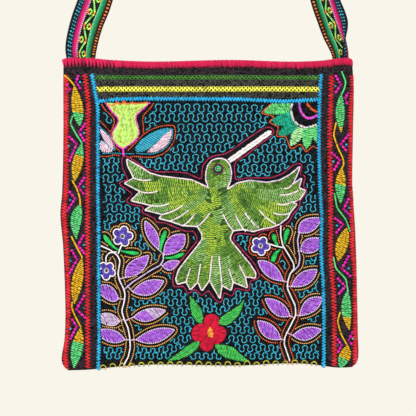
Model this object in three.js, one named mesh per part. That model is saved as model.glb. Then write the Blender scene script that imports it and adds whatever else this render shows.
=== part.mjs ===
// An embroidered cloth shoulder bag that hangs by its woven strap, in millimetres, with +Z up.
// The front faces -Y. The origin is the underside of the strap's top, where the bag hangs.
import * as THREE from "three";

// Driving dimensions
const wall = { cloth: 1.5, patch: 1.0, edging: 1.0, strap: 1.2, gap: 0.3 };
const bag = { mouthZ: -400, height: 306, hemRadius: 6 };
const edging = { outerLeg: 7.5, innerLeg: 5 };
const patch = { top: 14, bottom: 303.5, skip: 2 };
const strap = { restRadius: 18, flap: 0.3 };
const mesh = {
  endArc: 3,
  across: 16,
  levels: [0, 0.05, 0.11, 0.2, 0.3, 0.41, 0.52, 0.63, 0.74, 0.84, 0.92, 1],
  hemArc: 3,
  strapStep: 26,
  leastSteps: 2,
  probe: 0.5,
};

// The pouch from the mouth down: where its side seams lie, how far the front and the back stand out
// from the seams' plane at the middle, and the radius of the rounded side.
const sections = [
  { drop: 0, left: -145, right: 144.5, front: 12, back: 11, seam: 4.6 },
  { drop: 30, left: -145, right: 146, front: 13, back: 11.5, seam: 4.6 },
  { drop: 75, left: -145, right: 145.2, front: 15, back: 12.5, seam: 3 },
  { drop: 130, left: -146.2, right: 144.6, front: 16.5, back: 13, seam: 2.4 },
  { drop: 152, left: -148, right: 146.4, front: 17, back: 13, seam: 2.4 },
  { drop: 185, left: -145.2, right: 148.2, front: 16, back: 12.5, seam: 2.4 },
  { drop: 245, left: -143, right: 149.6, front: 13, back: 10.5, seam: 2.4 },
  { drop: 275, left: -143.8, right: 150.2, front: 10, back: 8.5, seam: 2.4 },
  { drop: 294, left: -146.8, right: 150.8, front: 7.5, back: 7, seam: 2.4 },
  { drop: 301, left: -145, right: 149, front: 6.4, back: 6.2, seam: 2.4 },
  { drop: 306, left: -140, right: 143, front: 6, back: 6, seam: 2.4 },
];

// How far the rim and the hem rise above their level lines across the bag.
const rimLine = [
  { x: -146, rise: 0.4 },
  { x: -141, rise: 1.9 },
  { x: -118, rise: 1.6 },
  { x: -96, rise: -0.4 },
  { x: -55, rise: -2 },
  { x: 22, rise: -0.4 },
  { x: 80, rise: -2 },
  { x: 112, rise: -1 },
  { x: 132, rise: 1.6 },
  { x: 141, rise: 1.8 },
  { x: 146, rise: 0.2 },
];
const hemLine = [
  { x: -148, rise: -5 },
  { x: -118, rise: -4 },
  { x: -88, rise: -1 },
  { x: -50, rise: 1 },
  { x: 30, rise: 0 },
  { x: 75, rise: 2 },
  { x: 100, rise: 1.6 },
  { x: 130, rise: -2 },
  { x: 151, rise: -1 },
];

// Soft dents and swells of the cloth: their place, half sizes and depth, a dent being negative.
const folds = {
  front: [
    { x: -70, drop: 60, wide: 34, tall: 60, deep: 1.8 },
    { x: -16, drop: 40, wide: 30, tall: 46, deep: -2.4 },
    { x: 62, drop: 62, wide: 36, tall: 58, deep: 1.6 },
    { x: -84, drop: 232, wide: 30, tall: 60, deep: -2.2 },
    { x: 92, drop: 224, wide: 32, tall: 66, deep: -2.4 },
    { x: 20, drop: 262, wide: 40, tall: 34, deep: 1.8 },
  ],
  back: [
    { x: -50, drop: 90, wide: 40, tall: 80, deep: 2 },
    { x: 34, drop: 120, wide: 34, tall: 90, deep: -2.6 },
    { x: -20, drop: 236, wide: 46, tall: 44, deep: 1.6 },
  ],
};

// The patch of picture cloth on the front, between its two side edges.
const patchSides = [
  { drop: 14, left: -116, right: 113.5 },
  { drop: 42, left: -111.5, right: 112 },
  { drop: 90, left: -110.5, right: 110.5 },
  { drop: 150, left: -111, right: 113.5 },
  { drop: 185, left: -109.5, right: 115 },
  { drop: 240, left: -108.5, right: 117 },
  { drop: 306, left: -111, right: 118.5 },
];

const degree = Math.PI / 180;

// A place on the strap's middle line over its rest, at an angle from the top.
function overRest(angle) {
  const radius = strap.restRadius + wall.strap / 2;
  return { x: radius * Math.sin(angle * degree), z: radius * Math.cos(angle * degree) - strap.restRadius };
}

// The strap's middle line from the left end to the right: its width there, how far it has turned
// from facing the front, and how far its outer edge is pleated over the front.
const strapRoute = [
  { x: -127, z: -430, width: 27, turn: 0, pleat: 0 },
  { x: -127.2, z: -414, width: 27.4, turn: 0, pleat: 0 },
  { x: -127.3, z: -402, width: 28, turn: 0, pleat: 0 },
  { x: -127.4, z: -396.5, width: 29.4, turn: 0, pleat: 0 },
  { x: -127.3, z: -388, width: 31.6, turn: 0, pleat: 0 },
  { x: -124.9, z: -375, width: 32.4, turn: 0, pleat: 0 },
  { x: -120.6, z: -360, width: 33.2, turn: 0, pleat: 0 },
  { x: -113.8, z: -342, width: 34, turn: 2, pleat: 0 },
  { x: -100, z: -294, width: 34, turn: 14, pleat: 0 },
  { x: -74, z: -205, width: 34, turn: 42, pleat: 0 },
  { x: -46, z: -109, width: 34, turn: 70, pleat: 0 },
  { ...overRest(-73), width: 34, turn: 88, pleat: 0 },
  { ...overRest(-36.5), width: 34, turn: 90, pleat: 0 },
  { ...overRest(0), width: 34, turn: 90, pleat: 0 },
  { ...overRest(36.5), width: 34, turn: 90, pleat: 0 },
  { ...overRest(73), width: 34, turn: 88, pleat: 0 },
  { x: 47, z: -109, width: 34, turn: 72, pleat: 0 },
  { x: 76, z: -205, width: 34, turn: 55, pleat: 0 },
  { x: 104, z: -294, width: 34, turn: 40, pleat: 0 },
  { x: 118.2, z: -342, width: 34, turn: 31, pleat: 0 },
  { x: 123.6, z: -358, width: 33, turn: 30, pleat: 28 },
  { x: 128.8, z: -372, width: 30.5, turn: 22, pleat: 75 },
  { x: 132.8, z: -382, width: 27, turn: 12, pleat: 115 },
  { x: 135.5, z: -391, width: 24.4, turn: 4, pleat: 150 },
  { x: 136.5, z: -400, width: 22.8, turn: 0, pleat: 176 },
  { x: 136.6, z: -414, width: 22.6, turn: 0, pleat: 180 },
  { x: 136.6, z: -430, width: 22.6, turn: 0, pleat: 180 },
];

// Reads a column of a table between its rows, on a smooth curve through them.
function read(rows, key, where, column) {
  const last = rows.length - 1;
  const slope = (i) => {
    const a = rows[Math.max(i - 1, 0)];
    const b = rows[Math.min(i + 1, last)];
    return (b[column] - a[column]) / (b[key] - a[key]);
  };
  const at = Math.min(Math.max(where, rows[0][key]), rows[last][key]);
  const i = Math.min(rows.findLastIndex((row) => row[key] <= at), last - 1);
  const span = rows[i + 1][key] - rows[i][key];
  const t = (at - rows[i][key]) / span;
  const ease = t * t * (3 - 2 * t);
  const lead = t * (1 - t) * (1 - t) * span * slope(i);
  const trail = t * t * (t - 1) * span * slope(i + 1);
  return rows[i][column] + (rows[i + 1][column] - rows[i][column]) * ease + lead + trail;
}

const sideAt = (drop, column) => read(sections, "drop", drop, column);

// Quarter-round share of full depth at a distance past the start of a rounded edge.
const rounded = (past, radius) => Math.sqrt(Math.max(0, 1 - (Math.max(past, 0) / radius) ** 2));

function foldAt(side, x, drop) {
  return folds[side].reduce((sum, fold) => {
    const across = (x - fold.x) / fold.wide;
    const down = (drop - fold.drop) / fold.tall;
    return sum + fold.deep * Math.exp(-across * across - down * down);
  }, 0);
}

// A point of the pouch's wall on its front or back, inset inwards from the cloth's outer face.
function bagPoint(side, x, drop, inset) {
  const radius = sideAt(drop, "seam");
  const left = sideAt(drop, "left") + radius;
  const right = sideAt(drop, "right") - radius;
  const s = THREE.MathUtils.clamp((2 * x - left - right) / (right - left), -1, 1);
  const middle = 1 - s * s;
  const end = rounded(Math.max(x - right, left - x), radius - inset);
  const hem = rounded(drop - (bag.height - bag.hemRadius), bag.hemRadius - inset);
  const swell = (sideAt(drop, side) - radius + foldAt(side, x, drop)) * middle;
  const depth = wall.gap / 2 + ((radius - inset) * end + swell) * hem;
  const share = drop / bag.height;
  const rise = read(rimLine, "x", x, "rise") * (1 - share) + read(hemLine, "x", x, "rise") * share;
  return new THREE.Vector3(x, side === "front" ? -depth : depth, bag.mouthZ + rise - drop);
}

// Places across the pouch at one level, from the left seam round its rounded side and on to the right.
function placesAcross(drop, inset) {
  const radius = sideAt(drop, "seam");
  const left = sideAt(drop, "left") + radius;
  const right = sideAt(drop, "right") - radius;
  const arc = Array.from({ length: mesh.endArc }, (_, i) => Math.cos((90 * degree * i) / mesh.endArc));
  const flat = Array.from({ length: mesh.across + 1 }, (_, i) => left + ((right - left) * i) / mesh.across);
  const leftArc = arc.map((c) => left - (radius - inset) * c);
  const rightArc = arc.map((c) => right + (radius - inset) * c).reverse();
  return [...leftArc, ...flat, ...rightArc];
}

// Levels down the pouch, closing round the hem.
function levels(top, inset) {
  const start = bag.height - bag.hemRadius;
  const plain = mesh.levels.map((share) => top + (start - top) * share);
  const arc = Array.from({ length: mesh.hemArc }, (_, i) => {
    const angle = (90 * degree * (i + 1)) / mesh.hemArc;
    return start + (bag.hemRadius - inset) * Math.sin(angle);
  });
  return [...plain, ...arc];
}

// A closed skin over a row of rings with equal counts. A ring runs along one face of a wall and
// back along the other, so an end is closed by a strip between the two. The way back takes the
// other diagonal, so that both faces bend along the same lines.
function loft(rings, joined = false) {
  const count = rings[0].length;
  const index = [];
  const quad = (a, b, c, d) => index.push(a, b, c, a, c, d);
  const spans = joined ? rings.length : rings.length - 1;
  for (let r = 0; r < spans; r++) {
    const here = r * count;
    const next = ((r + 1) % rings.length) * count;
    for (let i = 0; i < count; i++) {
      const j = (i + 1) % count;
      if (i < count / 2) quad(here + i, next + i, next + j, here + j);
      else quad(next + i, next + j, here + j, here + i);
    }
  }
  const end = (rings.length - 1) * count;
  for (let i = 0; !joined && i < count / 2 - 1; i++) {
    const j = count - 1 - i;
    quad(i, i + 1, j - 1, j);
    quad(end + i, end + j, end + j - 1, end + i + 1);
  }
  const geometry = new THREE.BufferGeometry().setFromPoints(rings.flat());
  geometry.setIndex(index);
  geometry.computeVertexNormals();
  return geometry;
}

// One wall of the pouch, with its edges on the seam plane at the sides and the hem.
function panelGeometry(side) {
  const top = wall.edging + wall.gap;
  const outer = levels(top, 0);
  const inner = levels(top, wall.cloth);
  const rings = outer.map((drop, r) => {
    const face = placesAcross(drop, 0).map((x) => bagPoint(side, x, drop, 0));
    const lining = placesAcross(inner[r], wall.cloth).map((x) => bagPoint(side, x, inner[r], wall.cloth));
    return [...face, ...lining.reverse()];
  });
  return loft(side === "front" ? rings : rings.map((ring) => ring.reverse()));
}

// The overcast band over the mouth's edge: a channel that straddles both walls all the way round.
function edgingGeometry() {
  const outside = -wall.gap - wall.edging;
  const inside = wall.cloth + wall.gap + wall.edging;
  const profile = [
    { drop: edging.outerLeg, inset: outside },
    { drop: 0, inset: outside },
    { drop: 0, inset: inside },
    { drop: edging.innerLeg, inset: inside },
    { drop: edging.innerLeg, inset: inside - wall.edging },
    { drop: wall.edging, inset: inside - wall.edging },
    { drop: wall.edging, inset: outside + wall.edging },
    { drop: edging.outerLeg, inset: outside + wall.edging },
  ];
  const columns = placesAcross(0, 0).length;
  const ringAt = (side, i) =>
    profile.map((p) => bagPoint(side, placesAcross(p.drop, p.inset)[i], p.drop, p.inset));
  const order = Array.from({ length: columns }, (_, i) => i);
  const front = order.map((i) => ringAt("front", i));
  const back = order.reverse().map((i) => ringAt("back", i));
  return loft([...front, ...back], true);
}

// The patch of picture cloth, lying a small gap off the front wall on the same lines across and down.
function patchGeometry() {
  const between = levels(wall.edging + wall.gap, 0).filter((drop) => drop > patch.top && drop < patch.bottom);
  const rings = [patch.top, ...between, patch.bottom].map((drop) => {
    const inner = placesAcross(drop, 0).slice(mesh.endArc + patch.skip, -mesh.endArc - patch.skip);
    const places = [
      read(patchSides, "drop", drop, "left"),
      ...inner,
      read(patchSides, "drop", drop, "right"),
    ];
    const face = places.map((x) => bagPoint("front", x, drop, -wall.gap - wall.patch));
    const under = places.map((x) => bagPoint("front", x, drop, -wall.gap));
    return [...face, ...under.reverse()];
  });
  return loft(rings);
}

// The strap's section: flat from its inner edge to the pleat, then turned over towards its outer edge.
function strapSection(width, pleat) {
  const layers = (wall.strap + 2 * wall.gap) / 2;
  const bend = Math.PI * layers;
  const start = width * (1 - strap.flap) - bend / 2;
  const flat = [0, start / 3, (2 * start) / 3];
  const round = [start, start + bend / 3, start + (2 * bend) / 3, start + bend];
  const stops = [...flat, ...round, (start + bend + width) / 2, width];
  const heading = (s) => pleat * degree * THREE.MathUtils.clamp((s - start) / bend, 0, 1);
  const line = [new THREE.Vector2(-width / 2, (-layers * pleat) / 180)];
  stops.slice(1).forEach((s, i) => {
    const along = heading((s + stops[i]) / 2);
    const step = new THREE.Vector2(Math.cos(along), Math.sin(along)).multiplyScalar(s - stops[i]);
    line.push(line[i].clone().add(step));
  });
  const offset = (side) =>
    line.map((p, i) => {
      const along = heading(stops[i]);
      return new THREE.Vector2(p.x - side * Math.sin(along), p.y + side * Math.cos(along));
    });
  return [...offset(wall.strap / 2), ...offset(-wall.strap / 2).reverse()];
}

// The strap swept along its route, turning from facing the front to lying over its rest.
function strapGeometry() {
  let run = 0;
  const rows = strapRoute.map((row, i) => {
    const before = strapRoute[Math.max(i - 1, 0)];
    run += Math.hypot(row.x - before.x, row.z - before.z);
    return { ...row, run };
  });
  const stations = rows.slice(0, -1).flatMap((row, i) => {
    const length = rows[i + 1].run - row.run;
    const steps = Math.max(mesh.leastSteps, Math.ceil(length / mesh.strapStep));
    return Array.from({ length: steps }, (_, k) => row.run + (length * k) / steps);
  });
  const pointAt = (at) => new THREE.Vector3(read(rows, "run", at, "x"), 0, read(rows, "run", at, "z"));
  const rings = [...stations, run].map((at) => {
    const value = (column) => read(rows, "run", at, column);
    const middle = pointAt(at);
    const along = pointAt(at + mesh.probe).sub(pointAt(at - mesh.probe)).normalize();
    const outward = new THREE.Vector3(-along.z, 0, along.x);
    const turn = value("turn") * degree;
    const across = outward.multiplyScalar(Math.cos(turn)).add(new THREE.Vector3(0, Math.sin(turn), 0));
    const facing = along.clone().cross(across);
    return strapSection(value("width"), value("pleat")).map((p) =>
      middle.clone().addScaledVector(across, p.x).addScaledVector(facing, p.y),
    );
  });
  return loft(rings);
}

function piece(name, geometry, color, roughness) {
  const made = new THREE.Mesh(geometry, new THREE.MeshStandardMaterial({ color, roughness, metalness: 0 }));
  made.name = name;
  return made;
}

const shoulderBag = new THREE.Group();
shoulderBag.add(
  piece("front_panel", panelGeometry("front"), 0x232125, 0.9),
  piece("back_panel", panelGeometry("back"), 0x232125, 0.9),
  piece("picture_patch", patchGeometry(), 0x1d1b20, 0.85),
  piece("mouth_edging", edgingGeometry(), 0xd81850, 0.6),
  piece("shoulder_strap", strapGeometry(), 0x2f9a62, 0.65),
);

export default shoulderBag;
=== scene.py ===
import math

import bmesh
import bpy
import numpy as np
from mathutils import Matrix, Vector


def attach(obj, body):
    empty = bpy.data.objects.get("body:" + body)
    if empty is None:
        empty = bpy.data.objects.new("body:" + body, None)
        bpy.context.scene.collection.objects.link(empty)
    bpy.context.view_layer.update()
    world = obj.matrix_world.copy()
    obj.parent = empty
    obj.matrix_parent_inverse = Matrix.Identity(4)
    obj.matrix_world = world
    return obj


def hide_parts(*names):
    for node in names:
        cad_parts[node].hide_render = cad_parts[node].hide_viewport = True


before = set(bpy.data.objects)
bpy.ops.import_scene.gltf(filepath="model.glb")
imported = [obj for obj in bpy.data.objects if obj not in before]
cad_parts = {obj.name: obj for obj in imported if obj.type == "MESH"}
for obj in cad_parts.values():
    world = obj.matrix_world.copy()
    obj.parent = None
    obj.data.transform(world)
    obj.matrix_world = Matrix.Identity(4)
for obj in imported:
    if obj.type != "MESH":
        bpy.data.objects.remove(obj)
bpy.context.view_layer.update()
mm = 0.001
dice = np.random.default_rng(11)
scene = bpy.context.scene
print("frame loaded")


# small tools
def table(columns, *rows):
    return dict(zip(columns.split(), np.array(rows, float).T))


def along(rows, key, where, column):  # a table's column on a smooth curve through its rows
    k, v = rows[key], rows[column]
    slope = np.empty_like(v)
    slope[1:-1] = (v[2:] - v[:-2]) / (k[2:] - k[:-2])
    slope[0] = (v[1] - v[0]) / (k[1] - k[0])
    slope[-1] = (v[-1] - v[-2]) / (k[-1] - k[-2])
    at = np.clip(where, k[0], k[-1])
    i = np.clip(np.searchsorted(k, at, side="right") - 1, 0, len(k) - 2)
    span = k[i + 1] - k[i]
    t = (at - k[i]) / span
    rest = 1 - t
    line = v[i] + (v[i + 1] - v[i]) * t * t * (3 - 2 * t)
    return line + span * (t * rest * rest * slope[i] - t * t * rest * slope[i + 1])


def runs(points):  # the distance along a line at each of its points
    return np.concatenate([[0], np.cumsum(np.hypot(*np.diff(points, axis=0).T))])


def unit(vectors):
    return vectors / np.maximum(np.linalg.norm(vectors, axis=-1, keepdims=True), 1e-9)


def direction(angle):  # unit vector on the chart at an angle in degrees
    turn = math.radians(angle)
    return np.array([math.cos(turn), math.sin(turn)])


def rounded(past, radius):  # quarter-round share of full depth past the start of a rounded edge
    return np.sqrt(np.clip(1 - (np.maximum(past, 0) / radius) ** 2, 0, 1))


def crowded(share):  # even shares drawn together towards both ends
    return 0.5 - 0.5 * np.cos(share * math.pi)


def rgb(red, green, blue):  # screen colour 0 to 255 as linear light
    c = np.array([red, green, blue]) / 255
    return (*np.where(c <= 0.04045, c / 12.92, ((c + 0.055) / 1.055) ** 2.4), 1.0)


def added(name, data):  # a new object in the scene
    thing = bpy.data.objects.new(name, data)
    scene.collection.objects.link(thing)
    return thing


def settle(piece):  # a finished piece rides on the bag's one body
    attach(piece, "root")
    return piece


# the hanging pouch, in millimetres, with the same tables as the CAD part
bag = dict(mouthZ=-400, height=306, wallTop=1.3, hemRadius=6, seamGap=0.3, wall=1.5)
sections = table(
    "drop left right front back seam",
    (0, -145, 144.5, 12, 11, 4.6),
    (30, -145, 146, 13, 11.5, 4.6),
    (75, -145, 145.2, 15, 12.5, 3),
    (130, -146.2, 144.6, 16.5, 13, 2.4),
    (152, -148, 146.4, 17, 13, 2.4),
    (185, -145.2, 148.2, 16, 12.5, 2.4),
    (245, -143, 149.6, 13, 10.5, 2.4),
    (275, -143.8, 150.2, 10, 8.5, 2.4),
    (294, -146.8, 150.8, 7.5, 7, 2.4),
    (301, -145, 149, 6.4, 6.2, 2.4),
    (306, -140, 143, 6, 6, 2.4),
)
rimLine = table(
    "x rise",
    (-146, 0.4), (-141, 1.9), (-118, 1.6), (-96, -0.4), (-55, -2), (22, -0.4), (80, -2), (112, -1),
    (132, 1.6), (141, 1.8), (146, 0.2),
)
hemLine = table(
    "x rise",
    (-148, -5), (-118, -4), (-88, -1), (-50, 1), (30, 0), (75, 2), (100, 1.6), (130, -2), (151, -1),
)
folds = dict(
    front=table(
        "x drop wide tall deep",
        (-70, 60, 34, 60, 1.8), (-16, 40, 30, 46, -2.4), (62, 62, 36, 58, 1.6),
        (-84, 232, 30, 60, -2.2), (92, 224, 32, 66, -2.4), (20, 262, 40, 34, 1.8),
    ),
    back=table(
        "x drop wide tall deep",
        (-50, 90, 40, 80, 2), (34, 120, 34, 90, -2.6), (-20, 236, 46, 44, 1.6),
    ),
)


def riseAt(x, drop):  # how far the wavy rim and hem lift a place
    share = drop / bag["height"]
    return along(rimLine, "x", x, "rise") * (1 - share) + along(hemLine, "x", x, "rise") * share


def bagPoint(side, x, drop, out=0.0):  # a place on the front or back, out from the cloth's outer face
    radius = along(sections, "drop", drop, "seam")
    left = along(sections, "drop", drop, "left") + radius
    right = along(sections, "drop", drop, "right") - radius
    s = np.clip((2 * x - left - right) / (right - left), -1, 1)
    end = rounded(np.maximum(x - right, left - x), radius + out)
    hem = rounded(drop - (bag["height"] - bag["hemRadius"]), bag["hemRadius"] + out)
    dent = 0
    for atX, atDrop, wide, tall, deep in zip(*folds[side].values()):
        dent = dent + deep * np.exp(-(((x - atX) / wide) ** 2 + ((drop - atDrop) / tall) ** 2))
    swell = (along(sections, "drop", drop, side) - radius + dent) * (1 - s * s)
    depth = bag["seamGap"] / 2 + ((radius + out) * end + swell) * hem
    return np.stack([x, -depth if side == "front" else depth, bag["mouthZ"] + riseAt(x, drop) - drop], -1)


# the patch of picture cloth, and the chart that places every stitch on the front:
# chart places are millimetres right and down from the chart's corner
patch = dict(top=14, bottom=303.5, lift=0.3, thick=1.0)
patchSides = table(
    "drop left right",
    (14, -116, 113.5), (42, -111.5, 112), (90, -110.5, 110.5), (150, -111, 113.5),
    (185, -109.5, 115), (240, -108.5, 117), (306, -111, 118.5),
)
chart = dict(middle=208, top=-340, seamMargin=0.35, step=0.4, slope=1.2, foot=0.6, passes=2)


def onFront(u, v, out):  # chart place and height above the cloth below it, to a place on the bag
    margin, step = chart["seamMargin"], chart["step"]
    x = u - chart["middle"]
    drop = straight = bag["mouthZ"] - (chart["top"] - v)
    for _ in range(chart["passes"]):
        drop = np.clip(straight + riseAt(x, drop), 0, bag["height"] - margin)
    left = along(sections, "drop", drop, "left") + margin
    x = np.clip(x, left, along(sections, "drop", drop, "right") - margin)
    face = bagPoint("front", x, drop)
    rightward = bagPoint("front", x + step, drop) - face
    upward = bagPoint("front", x, np.maximum(drop - step, 0)) - face
    normal = unit(np.cross(rightward, upward))
    inset = np.minimum(
        x - along(patchSides, "drop", drop, "left"), along(patchSides, "drop", drop, "right") - x
    )
    inset = np.minimum(inset, drop - patch["top"])
    lifted = (patch["lift"] + patch["thick"]) * np.clip(inset / chart["slope"] + chart["foot"], 0, 1)
    return face + normal * (lifted + out)[..., None]


# a look is a new material with the tools that wire its nodes
class Look:
    def __init__(self, name, rough, specular=0.5):
        self.mat = bpy.data.materials.new(name)
        self.mat.use_nodes = True
        self.nodes, self.links = self.mat.node_tree.nodes, self.mat.node_tree.links
        self.shader = self.nodes["Principled BSDF"]
        self.shader.inputs["Roughness"].default_value = rough
        self.shader.inputs["Specular IOR Level"].default_value = specular
        self.place = self.make("TexCoord").outputs["Object"]

    def make(self, kind, settings=(), **sockets):  # sockets go by their names, or by number as i0, i1
        node = self.nodes.new("ShaderNode" + kind)
        for key, value in dict(settings).items():
            setattr(node, key, value)
        for key, value in sockets.items():
            socket = node.inputs[int(key[1:]) if key[1:].isdigit() else key]
            if isinstance(value, bpy.types.NodeSocket):
                self.links.new(value, socket)
            else:
                socket.default_value = value
        return node

    def maths(self, operation, a, b=0.0, c=0.0):
        return self.make("Math", dict(operation=operation), i0=a, i1=b, i2=c).outputs[0]

    def linear(self, a, times, b):  # a times a factor, plus b
        return self.maths("MULTIPLY_ADD", a, times, b)

    def wave(self, value, turns):
        return self.maths("SINE", self.maths("MULTIPLY", value, turns))

    def parts(self, vector):
        return self.make("SeparateXYZ", Vector=vector).outputs

    def noise(self, place, scale, detail=3.0):
        return self.make("TexNoise", Vector=place, Scale=scale, Detail=detail).outputs[0]

    def ramp(self, share, stops, interpolation="LINEAR"):
        node = self.make("ValToRGB", Fac=share)
        band = node.color_ramp
        band.interpolation = interpolation
        while len(band.elements) < len(stops):
            band.elements.new(0.5)
        for element, (place, colour) in zip(band.elements, stops):
            element.position = place
            element.color = colour
        return node.outputs["Color"]

    def mixed(self, a, b, share=1.0, kind="MIX"):
        settings = dict(data_type="RGBA", blend_type=kind)
        return self.make("Mix", settings, Factor=share, A=a, B=b).outputs["Result"]

    def dress(self, colour, height=None, strength=0.0, depth=0.0):  # colour and bump into the shader
        self.links.new(colour, self.shader.inputs["Base Color"])
        if height is not None:
            bump = self.make("Bump", Height=height, Strength=strength, Distance=depth)
            self.links.new(bump.outputs[0], self.shader.inputs["Normal"])
        return self.mat


fibre = dict(
    rough=0.75, specular=0.2, sheen=0.05, sheenRough=0.5, twist=6.2, lean=2.4, plyGrooveShade=0.08,
    fuzz=1500, mottle=0.34, bumpFuzz=0.5, bump=0.5, bumpDepth=0.00012,
    deep=0.48, lit=0.22, dye=1.12, most=0.93, paintedEndShade=0.3,
)
threads = {}


def dyed(colour):  # a yarn's tone, a little stronger than it looks because its strands shade each other
    return (*np.minimum(np.array(rgb(*colour)[:3]) * fibre["dye"], fibre["most"]), 1.0)


def yarn(name, *colours):  # stitched yarn: shade picks its colour, the strand's own length its twist
    # one tone gets a darker and a lighter copy; each stitch's tone lies between them, painted shade at
    # stitch ends and in padding included
    if len(colours) == 1:
        middle = np.array(colours[0])
        colours = middle * fibre["deep"], middle, middle + (255 - middle) * fibre["lit"]
    look = Look(name, fibre["rough"], fibre["specular"])
    look.shader.inputs["Sheen Weight"].default_value = fibre["sheen"]
    look.shader.inputs["Sheen Roughness"].default_value = fibre["sheenRough"]
    shade = look.make("Attribute", dict(attribute_name="shade")).outputs["Fac"]
    strand = look.parts(look.make("Attribute", dict(attribute_name="strand")).outputs["Vector"])
    fuzz = look.noise(look.place, fibre["fuzz"])
    mottled = look.linear(fuzz, fibre["mottle"], look.maths("SUBTRACT", shade, fibre["mottle"] / 2))
    tint = look.ramp(mottled, [(i / (len(colours) - 1), dyed(c)) for i, c in enumerate(colours)])
    turn = look.linear(strand[1], fibre["lean"], look.maths("MULTIPLY", strand[0], fibre["twist"]))
    ply = look.maths("SINE", turn)
    # painted shade: the colour darkens along the grooves between the yarn's twisted plies
    colour = look.mixed(tint, look.linear(ply, fibre["plyGrooveShade"], 1 - fibre["plyGrooveShade"]), kind="MULTIPLY")
    height = look.linear(fuzz, fibre["bumpFuzz"], ply)
    threads[name] = look.dress(colour, height, fibre["bump"], fibre["bumpDepth"])


wool = dict(
    rough=0.92, specular=0.05, cloud=60, cloudDetail=4, cloudy=0.35, grain=680, grainDrawn=(0.75, 1, 1),
    grainy=2.4, darker=-0.87, woven=0.12, low=0.2, high=0.8, bumpFuzz=0.8, bump=0.5, bumpDepth=0.00015,
)


def cloth(name, low, high, pitch, greyAbove=None):  # dark plain-woven wool, greyer above a given level
    look = Look(name, wool["rough"], wool["specular"])
    place = look.parts(look.place)
    turns = 2 * math.pi / (pitch * mm)
    weave = look.maths("MULTIPLY", look.wave(place[0], turns), look.wave(place[2], turns))
    cloud = look.noise(look.place, wool["cloud"], wool["cloudDetail"])
    drawn = look.make("Mapping", Vector=look.place, Scale=wool["grainDrawn"]).outputs[0]
    fuzz = look.noise(drawn, wool["grain"])
    spun = look.linear(fuzz, wool["grainy"], look.linear(cloud, wool["cloudy"], wool["darker"]))
    # painted shade: the colour follows the weave's bump, darker between its threads, on top of the wool's
    # own grain
    tone = look.linear(weave, wool["woven"], spun)
    colour = look.ramp(tone, [(wool["low"], rgb(*low)), (wool["high"], rgb(*high))])
    if greyAbove:
        grey = look.ramp(tone, [(wool["low"], rgb(*greyAbove["low"])), (wool["high"], rgb(*greyAbove["high"]))])
        colour = look.mixed(colour, grey, look.maths("GREATER_THAN", place[2], greyAbove["level"] * mm))
    return look.dress(colour, look.linear(fuzz, wool["bumpFuzz"], weave), wool["bump"], wool["bumpDepth"])


# stitches: a unit bead, laid between two chart places and joined by the thousand
beadForm = dict(round=0.6, blunt=0.7, arch=0.5, belly=0.35, sink=0.12, shortest=0.05, phase=9, wind=3)


def beadShape(sides, rings):  # a sphere along X, made fuller and blunter than round
    bm = bmesh.new()
    turn = Matrix.Rotation(math.pi / 2, 4, "Y")
    bmesh.ops.create_uvsphere(bm, u_segments=sides, v_segments=rings, radius=0.5, matrix=turn)
    xyz = np.array([v.co for v in bm.verts])
    loops = np.array([v.index for f in bm.faces for v in f.verts])
    sizes = np.array([len(f.verts) for f in bm.faces])
    bm.free()
    around = 2 * np.hypot(xyz[:, 1], xyz[:, 2])
    fuller = np.where(around > 1e-6, around ** beadForm["round"] / np.maximum(around, 1e-6), 0)
    xyz[:, 1:] *= fuller[:, None]
    xyz[:, 0] = np.sign(xyz[:, 0]) * 0.5 * np.abs(2 * xyz[:, 0]) ** beadForm["blunt"]
    return dict(xyz=xyz, loops=loops, sizes=sizes)


bead = beadShape(5, 4)
longBead = beadShape(6, 10)


def joined(name, shape, xyz, shade, strand, mats, which):  # one mesh of many copies of a shape
    size, count = len(shape["xyz"]), len(which)
    loops = (shape["loops"][None] + size * np.arange(count)[:, None]).ravel()
    sizes = np.tile(shape["sizes"], count)
    me = bpy.data.meshes.new(name)
    me.vertices.add(size * count)
    me.vertices.foreach_set("co", (xyz.reshape(-1, 3) * mm).astype(np.float32).ravel())
    me.loops.add(len(loops))
    me.loops.foreach_set("vertex_index", loops.astype(np.int32))
    me.polygons.add(len(sizes))
    me.polygons.foreach_set("loop_start", (np.cumsum(sizes) - sizes).astype(np.int32))
    me.polygons.foreach_set("material_index", np.repeat(which, len(shape["sizes"])).astype(np.int32))
    me.polygons.foreach_set("use_smooth", np.ones(len(sizes), bool))
    me.update(calc_edges=True)
    tone = me.attributes.new("shade", "FLOAT", "POINT")
    tone.data.foreach_set("value", np.broadcast_to(shade, (count, size)).astype(np.float32).ravel())
    lay = me.attributes.new("strand", "FLOAT_VECTOR", "POINT")
    lay.data.foreach_set("vector", strand.reshape(-1, 3).astype(np.float32).ravel())
    for mat in mats:
        me.materials.append(mat)
    return added(name, me)


def hoop():  # work in progress: rows of stitches, and the yarns that they use
    return dict(rows=[], used=[])


def stitch(work, thread, a, b, wide, high, shade=0.5, lift=0.0, spread=0.14, keep=None, at=None):
    # stitches from places a to places b, where keep holds at their middles or at the places given
    a, b = np.asarray(a, float).reshape(-1, 2), np.asarray(b, float).reshape(-1, 2)
    if keep is not None:
        kept = keep((a + b) / 2 if at is None else at)
        a, b = a[kept], b[kept]
    if not len(a):
        return
    if thread not in work["used"]:
        work["used"].append(thread)
    tone = np.clip(shade + dice.normal(0, spread, len(a)), 0, 1)
    columns = [*a.T, *b.T, wide, high, lift, tone, work["used"].index(thread)]
    work["rows"].append(np.stack([np.broadcast_to(c, len(a)) for c in columns], 1))


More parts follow.
